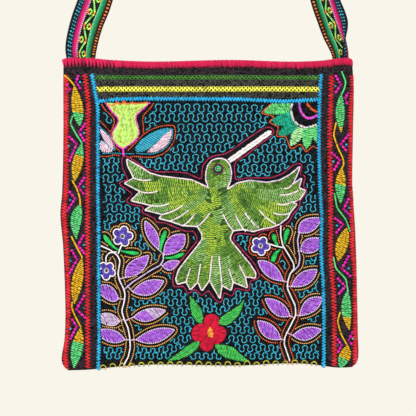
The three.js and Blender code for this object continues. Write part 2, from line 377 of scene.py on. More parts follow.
def sew(name, work, place, hand=-1):  # every stitch of a hoop as one mesh on its ground
    rows = np.concatenate(work["rows"])
    u0, v0, u1, v1, wide, high, lift, shade, which = (c[:, None] for c in rows.T)
    length = np.maximum(np.hypot(u1 - u0, v1 - v0), beadForm["shortest"])
    du, dv = (u1 - u0) / length, (v1 - v0) / length
    x, y, z = bead["xyz"].T * np.array([[1], [hand], [1]])
    u = (u0 + u1) / 2 + du * x * length - dv * y * wide
    v = (v0 + v1) / 2 + dv * x * length + du * y * wide
    arch = beadForm["arch"] * (1 - (2 * x) ** 2)
    up = lift + high * (arch + np.where(z > 0, z, beadForm["belly"] * z)) - beadForm["sink"]
    twist = (y * beadForm["wind"] + z) * np.ones_like(u)
    strand = np.stack([x * length + beadForm["phase"] * shade, twist, np.zeros_like(u)], -1)
    # painted shade: each stitch is darker towards its ends, where they go down into the cloth
    tone = shade - fibre["paintedEndShade"] * np.abs(2 * x) ** 3  # ends go down into the cloth
    mats = [threads[thread] for thread in work["used"]]
    piece = settle(joined(name, bead, place(u, v, up), tone, strand, mats, which[:, 0]))
    print(name, len(rows), "stitches")
    return piece


# lines and outlines on the chart
def spaced(points, step):  # even places along a line, about a step apart
    points = np.asarray(points, float)
    run = runs(points)
    at = np.linspace(0, run[-1], max(int(round(run[-1] / step)), 1) + 1)
    return np.stack([np.interp(at, run, points[:, 0]), np.interp(at, run, points[:, 1])], 1)


def trace(points, soft=1.5, closed=False, step=0.5):  # a softened line through its corners
    points = np.asarray(points, float)
    if closed:
        points = np.concatenate([points, points[:1]])
    line = spaced(points, step)
    reach = int(math.ceil(soft / step * 2))
    weight = np.exp(-0.5 * (np.arange(-reach, reach + 1) * step / soft) ** 2)
    weight /= weight.sum()
    if closed:
        before, after = line[-reach - 1:-1], line[1:reach + 1]
    else:
        before, after = 2 * line[0] - line[reach:0:-1], 2 * line[-1] - line[-2:-reach - 2:-1]
    long = np.concatenate([before, line, after])
    return np.stack([np.convolve(long[:, k], weight, "valid") for k in (0, 1)], 1)


def heading(line):  # unit directions along a line and to its right side
    run = np.gradient(line, axis=0)
    run /= np.maximum(np.hypot(*run.T), 1e-9)[:, None]
    return run, np.stack([-run[:, 1], run[:, 0]], 1)


def bow(base, through, tip, count=24):  # a curve from base to tip through a place halfway
    base, through, tip = (np.array(p, float) for p in (base, through, tip))
    bend = 2 * through - (base + tip) / 2
    t = np.linspace(0, 1, count)[:, None]
    return base * (1 - t) ** 2 + bend * 2 * t * (1 - t) + tip * t * t


def leaf(base, tip, one, two):  # an outline of two bows
    return np.concatenate([bow(base, one, tip), bow(tip, two, base)[1:-1]])


def closedUp(shape):
    return np.concatenate([shape, shape[:1]])


def ribbon(line, half):  # a closed outline on both sides of a line
    side = heading(line)[1] * half
    return np.concatenate([line + side, (line - side)[::-1]])


def ring(middle, across, down=None, start=0, end=360, count=28):
    angle = np.radians(np.linspace(start, end, count))
    down = across if down is None else down
    return np.stack([middle[0] + across * np.cos(angle), middle[1] + down * np.sin(angle)], 1)


def inside(shape, at):  # which places lie inside a closed outline
    u, v = at[..., 0, None], at[..., 1, None]
    a, b = shape, np.roll(shape, -1, axis=0)
    rise = np.where(b[:, 1] == a[:, 1], 1e-9, b[:, 1] - a[:, 1])
    crosses = ((a[:, 1] > v) != (b[:, 1] > v)) & (u < (b[:, 0] - a[:, 0]) * (v - a[:, 1]) / rise + a[:, 0])
    return crosses.sum(-1) % 2 == 1


def farFrom(at, cloud):  # how far each place is from the nearest of a cloud of others
    return np.min(np.hypot(*(at[:, None] - cloud[None]).transpose(2, 0, 1)), axis=1)


def stretches(good):  # first, and one past the last, of each run of true values
    edges = np.flatnonzero(np.diff(np.concatenate([[0], good.astype(int), [0]])))
    return edges.reshape(-1, 2)


frameSides = dict(
    left=table("v u", (74, 91.5), (85, 94), (92, 95), (104, 97.5), (110, 98), (200, 98), (220, 98.7),
               (300, 98.7), (340, 99), (370, 98)),
    right=table("v u", (74, 321), (104, 319.5), (150, 319), (190, 320), (217, 321.8), (252, 321),
                (279, 323), (306, 324), (324, 324), (370, 324)),
    top=table("u v", (98, 101.5), (110, 100), (125, 99), (200, 99), (240, 99.5), (285, 101.5), (318, 99.5)),
    inset=2.2, bottom=369.5,
)


def inFrame(at, more=0.0):  # which places lie inside the blue frame
    u, v, inset = at[..., 0], at[..., 1], frameSides["inset"] + more
    left = np.interp(v, frameSides["left"]["v"], frameSides["left"]["u"]) + inset
    right = np.interp(v, frameSides["right"]["v"], frameSides["right"]["u"]) - inset
    top = np.interp(u, frameSides["top"]["u"], frameSides["top"]["v"]) + inset
    return (u > left) & (u < right) & (v > top) & (v < frameSides["bottom"])


# ways of stitching along a line or over a shape
laying = dict(step=0.25, tuck=0.4, leastRow=0.6, leastStitch=0.7, strayed=12, uneven=0.25)


def running(work, thread, line, pitch=2.0, wide=0.8, high=0.6, gap=0.12, **more):
    places = spaced(line, pitch)
    run = np.diff(places, axis=0)
    stitch(work, thread, places[:-1] + run * gap, places[1:] - run * gap, wide, high, **more)


def rope(work, thread, line, pitch=1.3, wide=1.5, high=1.2, lean=0.35, reach=1.7, **more):
    places = spaced(line, pitch)
    run, side = heading(places)
    half = run * pitch * reach / 2 + side * lean
    stitch(work, thread, places - half, places + half, wide, high, at=places, **more)


def crossing(work, thread, line, reach, pitch=1.1, wide=1.0, high=0.9, slant=0.0, ragged=0.2, **more):
    places = spaced(line, pitch)
    run, side = heading(places)
    half, other = (reach / 2 + dice.normal(0, ragged, (2, len(places))))[..., None]
    a, b = places - side * half - run * slant, places + side * other + run * slant
    stitch(work, thread, a, b, wide, high, at=places, **more)


def lattice(work, thread, line, reach, pitch, wide, high=1.2, stride=1.5, ragged=0.15, rise=0.15, **more):
    # slanting stitches crossed by the next ones, with a gap between each four
    places = spaced(line, pitch)
    run, side = heading(places)
    for hand in (-1, 1):
        half = (reach / 2 + dice.normal(0, ragged, (2, len(places))))[..., None]
        a = places + run * pitch * (1 + hand) / 4 - side * hand * half[0]
        b = a + run * pitch * stride + side * hand * (half[0] + half[1])
        stitch(work, thread, a, b, wide, high, lift=rise * (1 + hand), **more)


def zigzag(work, thread, line, reach, pitch, wide, high=1.4, ragged=0.3):
    # to and fro, with teeth on both edges
    places = spaced(line, pitch / 2)
    swing = np.where(np.arange(len(places)) % 2, 0.5, -0.5) * (reach + dice.normal(0, ragged, len(places)))
    ends = places + heading(places)[1] * swing[:, None]
    stitch(work, thread, ends[:-1], ends[1:], wide, high)


def cutUp(low, top, length, longest):  # uneven cuts that keep each stitch of a row under the longest
    parts = max(int(math.ceil(length / longest)), 1)
    cuts = np.linspace(low, top, parts + 1)
    cuts[1:-1] += dice.uniform(-laying["uneven"], laying["uneven"], parts - 1) * longest
    return cuts


def hatch(work, thread, shape, angle, pitch=1.2, longest=8.0, wide=1.5, high=0.6, keep=None, **more):
    # plain rows of stitches over a whole shape, as padding under the finer ones
    way = direction(angle)
    side = np.array([-way[1], way[0]])
    levels, reaches = shape @ side, shape @ way
    off = np.arange(reaches.min() - 1, reaches.max() + 1, laying["step"])
    tuck = way * laying["tuck"]
    for level in np.arange(levels.min() + pitch / 2, levels.max(), pitch):
        at = side * level + way * off[:, None]
        good = inside(shape, at)
        if keep is not None:
            good &= keep(at)
        for start, end in stretches(good):
            cuts = cutUp(off[start], off[end - 1], (end - start) * laying["step"], longest)
            ends = side * level + way * cuts[:, None]
            if cuts[-1] - cuts[0] > laying["leastRow"]:
                stitch(work, thread, ends[:-1] - tuck, ends[1:] + tuck, wide, high, **more)


def fill(work, shape, spine, lay, pitch=0.9, slant=30, longest=9.0, wide=1.1, high=0.9, reach=20.0,
         own=None, keep=None, edge=0.2, overlap=0.5, wild=0.0):
    # stitches across a spine, cut off at the shape's outline, with thread and shade from lay
    line = spaced(spine, pitch)
    run, side = heading(line)
    turn = np.radians(slant + (dice.normal(0, wild, (len(line), 1)) if wild else 0))
    way = side * np.cos(turn) + run * np.sin(turn)
    off = np.arange(-reach, reach + 0.01, laying["step"])
    at = line[:, None] + way[:, None] * off[None, :, None]
    good = inside(shape, at)
    for test in (own, keep):
        if test is not None:
            good &= test(at)
    middle = len(off) // 2
    for i, spot in enumerate(line):
        hits = np.flatnonzero(good[i])
        if not len(hits):
            continue
        first = hits[np.argmin(np.abs(hits - middle))]
        start, end = next(span for span in stretches(good[i]) if span[0] <= first < span[1])
        low, top = off[start] - edge, off[end - 1] + edge
        if abs(first - middle) > laying["strayed"] or top - low < laying["leastStitch"]:
            continue
        thread, shade = lay(i / max(len(line) - 1, 1), spot)
        cuts = cutUp(low, top, top - low, longest)
        ends = spot + way[i] * cuts[:, None]
        over = way[i] * overlap * (len(cuts) > 2)
        stitch(work, thread, ends[:-1] - over, ends[1:] + over, wide, high, shade=shade)


def plain(thread, shade=0.5):  # a lay of one thread and shade, wherever on the spine
    return lambda share, at: (thread, shade)


# the padding is a real layer laid in a darker tone of its yarn: painted shade in the gaps between the
# stitches over it
def padded(work, thread, shape, spine, lay, padding, keep=None, **laid):  # a filled shape over its padding
    hatch(work, thread, shape, keep=keep, **padding)
    fill(work, shape, spine, lay, keep=keep, **laid)


echoing = dict(cloud=0.8, soft=0.8, step=0.2, slack=0.25, ownSlack=0.35, apart=1.2, fewest=5, even=1.0)


def echo(work, threadAt, shapes, least, reach, keep, **more):
    # a line of stitches round shapes, drawn in to the middle of a gap too narrow for two
    clouds = [spaced(closedUp(shape), echoing["cloud"]) for shape in shapes]
    drawn = np.zeros((1, 2))
    lines = []
    for k, shape in enumerate(shapes):
        loop = trace(shape, echoing["soft"], closed=True)
        area = np.sum(loop[:-1, 0] * loop[1:, 1] - loop[1:, 0] * loop[:-1, 1])
        outward = -heading(loop)[1] * np.sign(area)
        others = np.concatenate(clouds[:k] + clouds[k + 1:])
        best = np.zeros(len(loop))
        for far in np.arange(least, reach + 0.01, echoing["step"]):
            at = loop + outward * far
            clear = farFrom(at, others) > far - echoing["slack"]
            best = np.where(clear & (farFrom(at, clouds[k]) > far - echoing["ownSlack"]), far, best)
        outer = loop + outward * best[:, None]
        good = (best > 0) & (farFrom(outer, drawn) > echoing["apart"]) & keep(outer)
        for other in shapes[:k] + shapes[k + 1:]:
            good &= ~inside(other, outer)
        for start, end in stretches(good):
            if end - start > echoing["fewest"]:
                part = trace(outer[start:end], echoing["even"])
                running(work, threadAt(part.mean(0)), part, **more)
                lines.append(part)
        drawn = np.concatenate([drawn, outer[good]])
    return lines


# the two walls of the pouch and the picture cloth
bagCloth = cloth("bag cloth", low=(10, 6, 9), high=(52, 45, 51), pitch=1.1)
greyTop = dict(low=(10, 10, 9), high=(66, 66, 63), level=-438)
pictureCloth = cloth("picture cloth", low=(2, 2, 4), high=(30, 32, 37), pitch=0.9, greyAbove=greyTop)


def sheetPiece(name, place, across, down, thick, mat, slot, flip=False):
    bm = bmesh.new()
    bmesh.ops.create_grid(bm, x_segments=across, y_segments=down, size=1)
    at = np.array([v.co for v in bm.verts])
    at /= np.abs(at).max()
    for v, p in zip(bm.verts, place((at[:, 0] + 1) / 2, (1 - at[:, 1]) / 2) * mm):
        v.co = p
    if flip:
        bmesh.ops.reverse_faces(bm, faces=bm.faces)
    for f in bm.faces:
        f.smooth = True
    me = bpy.data.meshes.new(name)
    bm.to_mesh(me)
    bm.free()
    me.materials.append(mat)
    piece = added(name, me)
    solid = piece.modifiers.new("thickness", "SOLIDIFY")
    solid.thickness = thick * mm
    solid.offset = -1
    print(name, "laid")
    return settle(piece)


def clothPlace(side, edges, top, bottom, out=0.0, crowd=True):  # rows draw together towards the hem
    def place(s, t):
        drop = top + (bottom - top) * np.sin(t * math.pi / 2)
        left, right = (along(edges, "drop", drop, c) for c in ("left", "right"))
        return bagPoint(side, left + (right - left) * (crowded(s) if crowd else s), drop, out)

    return place


wallMake = dict(across=110, down=100, thick=bag["wall"], mat=bagCloth, slot="bag_cloth")
wallSpan = sections, bag["wallTop"], bag["height"]
frontCloth = sheetPiece("front_cloth", clothPlace("front", *wallSpan), **wallMake)
backCloth = sheetPiece("back_cloth", clothPlace("back", *wallSpan), **wallMake, flip=True)
patchMake = dict(across=90, down=110, thick=patch["thick"], mat=pictureCloth, slot="picture_cloth")
patchSpan = patchSides, patch["top"], patch["bottom"], patch["lift"] + patch["thick"]
patchCloth = sheetPiece("picture_cloth", clothPlace("front", *patchSpan, crowd=False), **patchMake)
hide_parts("front_panel")
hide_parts("back_panel")
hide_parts("picture_patch")

# overcast yarn wrapped over the mouth's edge, looser and coarser at its left end
rim = dict(
    level=3.0, samples=2000, margin=0.05, pitch=1.55, jitter=0.12, wide=1.75, high=1.3, outer=7.0,
    teeth=0.35, slant=0.1, foot=0.8, flare=0.15, strand=16,
    tone=0.58, toneSpread=0.11, shaded=0.5, shadedTo=0.3,
    looseTo=-92, loosePitch=3.6, looseWide=2.2, looseOuter=8.6, looseTeeth=0.8,
    looseSwell=0.8, swellFrom=0.15, swellOver=0.35, probe=0.02, sideProbe=0.15,
)
rimProfile = table(
    "out drop",
    (0.95, 1.0), (1.15, 0.35), (0.75, 0.02), (-0.75, -0.1), (-2.25, 0.1), (-2.6, 0.6), (-2.45, 4.7),
)
yarn("rimPink", (96, 6, 34), (186, 10, 68), (212, 30, 88))


def overRim(side):
    start, end = (along(sections, "drop", rim["level"], c) for c in ("left", "right"))
    fine = start + (end - start) * crowded(np.linspace(0, 1, rim["samples"]))
    line = bagPoint(side, fine, np.full_like(fine, rim["level"]))
    pitch = np.where(fine[1:] < rim["looseTo"], rim["loosePitch"], rim["pitch"])
    run = np.concatenate([[0], np.cumsum(np.linalg.norm(np.diff(line, axis=0), axis=1) / pitch)])
    x = np.interp(np.arange(int(run[-1])) + 0.5, run, fine)[:, None]
    x = x + dice.normal(0, rim["jitter"], x.shape)
    loose = x < rim["looseTo"]
    deep = np.where(loose, rim["looseOuter"], rim["outer"])
    deep = deep + dice.normal(0, 1, x.shape) * np.where(loose, rim["looseTeeth"], rim["teeth"])
    q = (longBead["xyz"][:, 0] + 0.5)[None]
    steps = np.arange(len(rimProfile["out"]))

    def middle(q, shift=0.0):  # the wrap's own line: up the outside, over the edge and down the inside
        leg = np.clip(2 * q, 0, 1)
        turn = np.clip(2 * q - 1, 0, 1) * steps[-1]
        up = rim["foot"] + rim["flare"] * leg, deep + (rimProfile["drop"][0] - deep) * leg
        out, drop = (
            np.where(q < 0.5, u, np.interp(turn, steps, rimProfile[c])) for u, c in zip(up, ("out", "drop"))
        )
        at = x + shift + rim["slant"] * (drop - rim["level"])
        return bagPoint(side, np.clip(at, start + rim["margin"], end - rim["margin"]), drop, out)

    before, after = (np.clip(q + d, 0, 1) for d in (-rim["probe"], rim["probe"]))
    forward = unit(middle(after) - middle(before))
    sideways = unit(middle(q, rim["sideProbe"]) - middle(q, -rim["sideProbe"]))
    upward = np.cross(forward, sideways)
    _, y, z = longBead["xyz"].T
    swell = np.clip((q - rim["swellFrom"]) / rim["swellOver"], 0, 1)  # loose wraps meet only at the top
    wide = np.where(loose, rim["looseWide"] * (1 + rim["looseSwell"] * swell), rim["wide"])[..., None]
    xyz = middle(q) + sideways * y[:, None] * wide + upward * (z * rim["high"])[:, None]
    twist = (y * beadForm["wind"] + z) * np.ones_like(x)
    strand = np.stack([q * rim["strand"] + x, twist, np.zeros_like(q * x)], -1)
    tone = np.clip(dice.normal(rim["tone"], rim["toneSpread"], x.shape), 0, 1)
    # painted shade: each wrap is darker towards its lower end on the outside
    return xyz, tone - rim["shaded"] * np.clip(1 - q / rim["shadedTo"], 0, 1), strand


wraps = [np.concatenate(both) for both in zip(overRim("front"), overRim("back"))]
mouthEdging = joined("rim_stitches", longBead, *wraps, [threads["rimPink"]], np.zeros(len(wraps[0])))
settle(mouthEdging)
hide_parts("mouth_edging")
print("mouth edged with", len(wraps[0]), "wraps")

# the woven strap: a banded strip with floats of coloured warp on both faces
strap = dict(
    width=34, thick=1.2, restRadius=18, flap=0.3, layers=0.9, samples=4000, probe=0.5, leastPleat=0.05,
    across=68, down=430,
)


def overRest(angle, turn):
    radius, a = strap["restRadius"] + strap["thick"] / 2, math.radians(angle)
    return radius * math.sin(a), radius * math.cos(a) - strap["restRadius"], strap["width"], turn, 0


strapRoute = table(
    "x z width turn pleat",
    (-127, -430, 27, 0, 0), (-127.2, -414, 27.4, 0, 0), (-127.3, -402, 28, 0, 0),
    (-127.4, -396.5, 29.4, 0, 0), (-127.3, -388, 31.6, 0, 0), (-124.9, -375, 32.4, 0, 0),
    (-120.6, -360, 33.2, 0, 0), (-113.8, -342, 34, 2, 0), (-100, -294, 34, 14, 0), (-74, -205, 34, 42, 0),
    (-46, -109, 34, 70, 0),
    overRest(-73, 88), overRest(-36.5, 90), overRest(0, 90), overRest(36.5, 90), overRest(73, 88),
    (47, -109, 34, 72, 0), (76, -205, 34, 55, 0), (104, -294, 34, 40, 0), (118.2, -342, 34, 31, 0),
    (123.6, -358, 33, 30, 28), (128.8, -372, 30.5, 22, 75), (132.8, -382, 27, 12, 115),
    (135.5, -391, 24.4, 4, 150), (136.5, -400, 22.8, 0, 176), (136.6, -414, 22.6, 0, 180),
    (136.6, -430, 22.6, 0, 180),
)
strapRoute["run"] = runs(np.stack([strapRoute["x"], strapRoute["z"]], 1))


def strapMiddle(run):
    return np.stack([along(strapRoute, "run", run, c) for c in ("x", "z")], -1)


fineRun = np.linspace(0, strapRoute["run"][-1], strap["samples"])
strapRun = runs(strapMiddle(fineRun))
strapLength = strapRun[-1]


def onStrap(w, s, out):  # w across from the inner edge, s along from the left end, out from mid-layer
    place = np.interp(s, strapRun, fineRun)
    middle = strapMiddle(place)
    run = unit(strapMiddle(place + strap["probe"]) - strapMiddle(place - strap["probe"]))
    tx, tz = run[..., 0], run[..., 1]
    width, pleat = (along(strapRoute, "run", place, c) for c in ("width", "pleat"))
    turn = np.radians(along(strapRoute, "run", place, "turn"))
    across = np.stack([-tz * np.cos(turn), np.sin(turn), tx * np.cos(turn)], -1)
    facing = np.cross(np.stack([tx, np.zeros_like(tx), tz], -1), across)
    bend = math.pi * strap["layers"]
    start = width * (1 - strap["flap"]) - bend / 2
    q = w * width / strap["width"]
    full = np.radians(np.where(np.abs(pleat) < strap["leastPleat"], strap["leastPleat"], pleat))
    part = full * np.clip((q - start) / bend, 0, 1)
    radius = bend / full
    past = np.maximum(q - start - bend, 0)
    flat = np.minimum(q, start) + radius * np.sin(part) + past * np.cos(part) - width / 2
    deep = radius * (1 - np.cos(part)) + past * np.sin(part) - strap["layers"] * pleat / 180
    flat, deep = flat - np.sin(part) * out, deep + np.cos(part) * out
    xyz = across * flat[..., None] + facing * deep[..., None]
    xyz[..., 0] += middle[..., 0]
    xyz[..., 2] += middle[..., 1]
    return xyz


def strapPlace(s, t):
    return onStrap(s * strap["width"], (1 - t) * strapLength, strap["thick"] / 2)


# the green band steps from dark to light across its width, painted shade and painted highlight of a ridge
stripes = table(  # bands across the strap from its inner edge: where each starts, and its colour
    "w red green blue",
    (0, 14, 10, 14), (5.2, 6, 70, 42), (6.2, 16, 122, 72), (7.8, 36, 154, 94), (9.6, 78, 190, 130),
    (10.7, 140, 220, 170), (11.2, 14, 10, 16), (20.6, 96, 60, 84), (21.6, 234, 84, 158),
    (22.8, 212, 26, 116), (25.2, 150, 8, 74), (26.8, 12, 12, 22),
)
weaving = dict(
    rough=0.8, specular=0.2, fuzz=1300, slub=420, slubDetail=2, ragged=0.03, ribs=40, pick=1.6,
    pickDeep=0.5, pickMean=0.8, fuzzy=1.5, slubby=0.8, darker=-0.42, woven=0.14,
    bump=0.55, bumpDepth=0.0002,
)


def strapWeave():
    look = Look("strap weave", weaving["rough"], weaving["specular"])
    place = look.parts(look.make("UVMap", dict(uv_map="weave")).outputs[0])
    fuzz = look.noise(look.place, weaving["fuzz"])
    slub = look.noise(look.place, weaving["slub"], weaving["slubDetail"])
    ragged = look.linear(fuzz, weaving["ragged"], look.maths("SUBTRACT", place[0], weaving["ragged"] / 2))
    stops = [(w / strap["width"], rgb(*colour)) for w, *colour in zip(*stripes.values())]
    rib = look.wave(place[0], 2 * math.pi * weaving["ribs"])
    pick = look.wave(place[1], 2 * math.pi * strapLength / weaving["pick"])
    weave = look.maths("MULTIPLY", rib, look.linear(pick, weaving["pickDeep"], weaving["pickMean"]))
    spun = look.linear(fuzz, weaving["fuzzy"], look.linear(slub, weaving["slubby"], weaving["darker"]))
    # painted shade: the colour follows the weave's ribs, darker in the hollows between them, on top of the
    # yarn's own grain
    tone = look.linear(weave, weaving["woven"], spun)
    colour = look.mixed(look.ramp(ragged, stops, "CONSTANT"), tone, kind="MULTIPLY")
    return look.dress(colour, look.maths("ADD", weave, fuzz), weaving["bump"], weaving["bumpDepth"])


strapMake = dict(across=strap["across"], down=strap["down"], thick=strap["thick"], slot="strap_weave")
strapBand = sheetPiece("woven_strap", strapPlace, mat=strapWeave(), **strapMake, flip=True)
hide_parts("shoulder_strap")
weaveMap = strapBand.data.uv_layers.new(name="weave")
spots = np.zeros(len(strapBand.data.loops), np.int32)
strapBand.data.loops.foreach_get("vertex_index", spots)
rowOf, columnOf = np.divmod(spots, strap["across"] + 1)
weaveUv = np.stack([columnOf / strap["across"], rowOf / strap["down"]], 1)
weaveMap.data.foreach_set("uv", weaveUv.astype(np.float32).ravel())

# yarns for the embroidery: one middle tone each, or tones from dark to light; the darker tones also carry
# painted shade
for yarnName, tone in dict(
    red=(206, 24, 38), blue=(24, 166, 222), turquoise=(44, 184, 218), bandGreen=(60, 120, 40),
    bandYellow=(246, 240, 78), gold=(220, 172, 2), podGreen=(80, 206, 118), magenta=(248, 2, 182),
    violet=(92, 74, 192), purple=(162, 88, 218), lilac=(196, 172, 214), white=(232, 224, 230),
    pinkWhite=(240, 216, 230), lilacWhite=(222, 202, 232), crimson=(196, 38, 96), orange=(232, 92, 32),
    lightOrange=(250, 168, 84), lime=(190, 242, 118), bellPink=(240, 58, 196), bellRib=(226, 178, 60),
    leafPink=(238, 202, 222), leafBlue=(36, 164, 200), clubGreen=(30, 194, 84), grassGreen=(58, 188, 80),
    petalGreen=(98, 216, 124), paleGreen=(168, 240, 164), teal=(0, 170, 136), centre=(244, 176, 44),
    olive=(186, 182, 50), plum=(118, 46, 94), dark=(24, 20, 26), arcPink=(228, 84, 218),
    arcViolet=(146, 96, 214), strapLime=(140, 226, 106), strapOrange=(240, 116, 40),
).items():
    yarn(yarnName, tone)
yarn("birdGreen", (42, 72, 24), (92, 144, 54), (140, 176, 58), (176, 202, 68))
yarn("birdSage", (70, 116, 52), (124, 172, 92), (166, 202, 134))
yarn("flowerRed", (120, 0, 28), (206, 2, 56), (218, 18, 70))
print(len(threads), "yarns dyed")

blockers = []  # outlines that the ground stitching keeps away from
edgeLines = []  # lines that it keeps away from


def embroider(name, work):
    return sew(name, work, onFront)


# the blue frame and the two plaited bands
frameWork = hoop()
for sideName in ("left", "right", "top"):
    line = np.stack([frameSides[sideName][c] for c in ("u", "v")], 1)
    zigzag(frameWork, "blue", trace(line, soft=3), reach=4.7, pitch=2.8, wide=1.45)

bands = dict(pitch=3.8, wide=1.4, start=94.5, end=313.5, within=0.8)
for thread, top, bottom in (("bandGreen", 74.6, 80.6), ("bandYellow", 86, 92.5)):
    level = (top + bottom) / 2
    line = np.array([(bands["start"], level), (bands["end"], level)])
    reach = bottom - top - bands["within"]
    lattice(frameWork, thread, line, reach, bands["pitch"], bands["wide"], spread=0.1)
frameStitches = embroider("frame_stitches", frameWork)

# the vine borders: a change level past the pod leaves it in one yarn
borders = dict(
    left=dict(
        outer=[
            (65.8, 75), (65.8, 190), (63.6, 212), (66, 245), (68, 290), (68, 320), (64.6, 355), (66, 369),
        ],
        inner=[(84.7, 74), (88.6, 105), (87.7, 130), (87.5, 300), (87.7, 368)],
        stems=[
            ("gold", [(65, 75.5), (70, 80), (74, 85)]),
            ("podGreen", [(72.4, 116.5), (70, 123), (76.6, 135), (82, 143)]),
            ("gold", [(72.4, 181), (76.6, 188), (80, 198), (80.3, 205)]),
            ("gold", [(71.6, 237), (76, 246), (82, 257)]),
            ("gold", [(72, 303), (71.5, 308), (75.3, 317), (80.7, 327)]),
        ],
        pods=[  # base, tip, widest left and right, level of the widest, level of the change of yarn
            ((74, 84), (79.5, 126.5), 71.6, 83.2, 108, 112, "gold", "podGreen"),
            ((82, 142), (74.5, 182), 72, 82.7, 163, 154.7, "podGreen", "gold"),
            ((80.5, 204), (76.2, 240), 70.4, 81.6, 218, 999, "podGreen", "gold"),
            ((82, 257), (74, 305), 71.6, 82.8, 281, 999, "gold", "gold"),
            ((80.7, 327), (73.8, 369), 71, 83, 348, 342, "gold", "podGreen"),
        ],
        dashes=[  # an end, the bend and the other end of each row of dashes, and the dot that it holds
            ((78, 76), (76, 82), (80, 88), (80, 82)), ((67, 85), (70, 89), (67, 92), None),
            ((85, 124), (79, 132), (84, 140.6), (84, 133)),
            ((69.5, 137), (76.6, 144), (69.5, 160.5), (68.7, 146)),
            ((84, 178), (78.2, 187), (83.2, 193.6), (83.6, 186.6)),
            ((69.5, 192), (75, 198.6), (67, 211), (70, 200)),
            ((83.2, 235.7), (77.8, 245.6), (84, 253), (84, 245)),
            ((71.6, 250.6), (77, 259.7), (69.5, 273), (70.4, 261)),
            ((84, 296), (76.2, 309.5), (85, 317.7), (83.6, 308)),
            ((72.2, 320), (76.5, 326.4), (70.3, 339), (70.3, 329)),
        ],
    ),
    right=dict(
        outer=[
            (353, 75), (353, 90), (351.3, 110), (351.3, 180), (352.8, 200), (352.8, 250), (355.8, 275),
            (355.8, 368),
        ],
        inner=[
            (331.8, 75), (330, 130), (330, 150), (330.8, 195), (330.8, 257), (334.2, 300), (334.8, 366),
        ],
        stems=[
            ("podGreen", [(342, 72), (346, 82), (344, 90), (341.5, 94)]),
            ("gold", [(336, 123), (333.5, 135), (338, 148), (343, 158), (344, 165), (342, 168)]),
            ("podGreen", [(334.5, 194), (337, 208), (346, 219.5), (350, 231)]),
            ("podGreen", [(333.6, 258), (335.8, 268.6), (346, 279), (348, 291)]),
            ("gold", [(340, 313), (337.5, 321.6), (341.4, 335), (347.7, 346)]),
        ],
        pods=[
            ((341.5, 93), (341.5, 133), 335.8, 344.8, 112, 127, "podGreen", "gold"),
            ((342, 167), (341, 204), 335.4, 346, 185, 184.5, "gold", "podGreen"),
            ((347, 227), (338.5, 262), 336, 348.7, 244, 999, "gold", "gold"),
            ((348, 290), (349.8, 331), 341.4, 351.6, 309, 317, "podGreen", "gold"),
            ((347.7, 345), (341.4, 369), 338.6, 351, 357, 359, "gold", "podGreen"),
        ],
        dashes=[
            ((336, 76), (341, 85), (336, 92), (335.5, 86)), ((348, 93), (345.5, 98), (347, 103), None),
            ((348.5, 135), (341, 144), (346, 150), (346.5, 144.5)),
            ((332, 153), (340, 160), (334.5, 169.5), (333.5, 161.5)),
            ((348.8, 199.4), (343.8, 209), (351, 216), (349.6, 208)),
            ((335.4, 218.6), (343.4, 224.4), (336.7, 232.4), (337, 225.7)),
            ((348.8, 256.5), (342, 268.6), (350.5, 276), (348.8, 268.6)),
            ((338, 278.8), (345.6, 286.4), (339.4, 293.6), (339, 286)),
            ((337.9, 339.8), (341.8, 345.4), (338.6, 351.8), (337.9, 345.4)),
            ((352.6, 332.8), (348.8, 340.5), (351.6, 344), (353, 338.8)),
        ],
    ),
)
vine = dict(
    outer=dict(reach=6.4, pitch=2.8, wide=1.5), inner=dict(reach=6.0, pitch=3.2, wide=1.4),
    stem=dict(pitch=1.3, wide=1.7, high=1.7, lift=0.2),
    # the pods' padding in the darkest tone of its yarn: painted shade in the gaps between the pod stitches
    padding=dict(angle=8, pitch=1.3, high=0.5, shade=0.0), tone=0.68,
    pod=dict(pitch=1.85, slant=-14, longest=4.2, wide=1.4, high=1.2, overlap=0.1, wild=6),
    dashPitch=3.6, dashHalf=(1.4, 0.3), dash=dict(wide=2.6, high=1.3, shade=0.55),
    link=dict(wide=0.9, high=0.7), dotHalf=(1.2, 0), dot=dict(wide=2.2, high=1.3),
)


def border(name, plan):
    work = hoop()
    for edge in ("outer", "inner"):
        zigzag(work, "red", trace(plan[edge], soft=3), **vine[edge])
    for thread, line in plan["stems"]:
        rope(work, thread, trace(line, soft=2), **vine["stem"])
    for base, tip, left, right, level, change, first, second in plan["pods"]:
        shape = leaf(base, tip, (left, level), (right, level))
        spine = bow(base, ((left + right) / 2, level), tip)
        for part in (first, second):

            def keep(at):
                return (at[..., 1] < change) == (part == first)

            hatch(work, part, shape, keep=keep, **vine["padding"])

        def lay(share, at):
            return (first if at[1] < change else second), vine["tone"]

        fill(work, shape, spine, lay, **vine["pod"])
    for one, bend, two, dot in plan["dashes"]:
        for end in (one, two):
            at = spaced([end, bend], vine["dashPitch"])
            stitch(work, "magenta", at - vine["dashHalf"], at + vine["dashHalf"], **vine["dash"])
            running(work, "magenta", [end, bend], vine["dashPitch"], **vine["link"])
        if dot:
            ends = np.subtract(dot, vine["dotHalf"]), np.add(dot, vine["dotHalf"])
            stitch(work, "blue", *ends, **vine["dot"])
    return embroider(name, work)


leftBorder = border("left_border", borders["left"])
rightBorder = border("right_border", borders["right"])

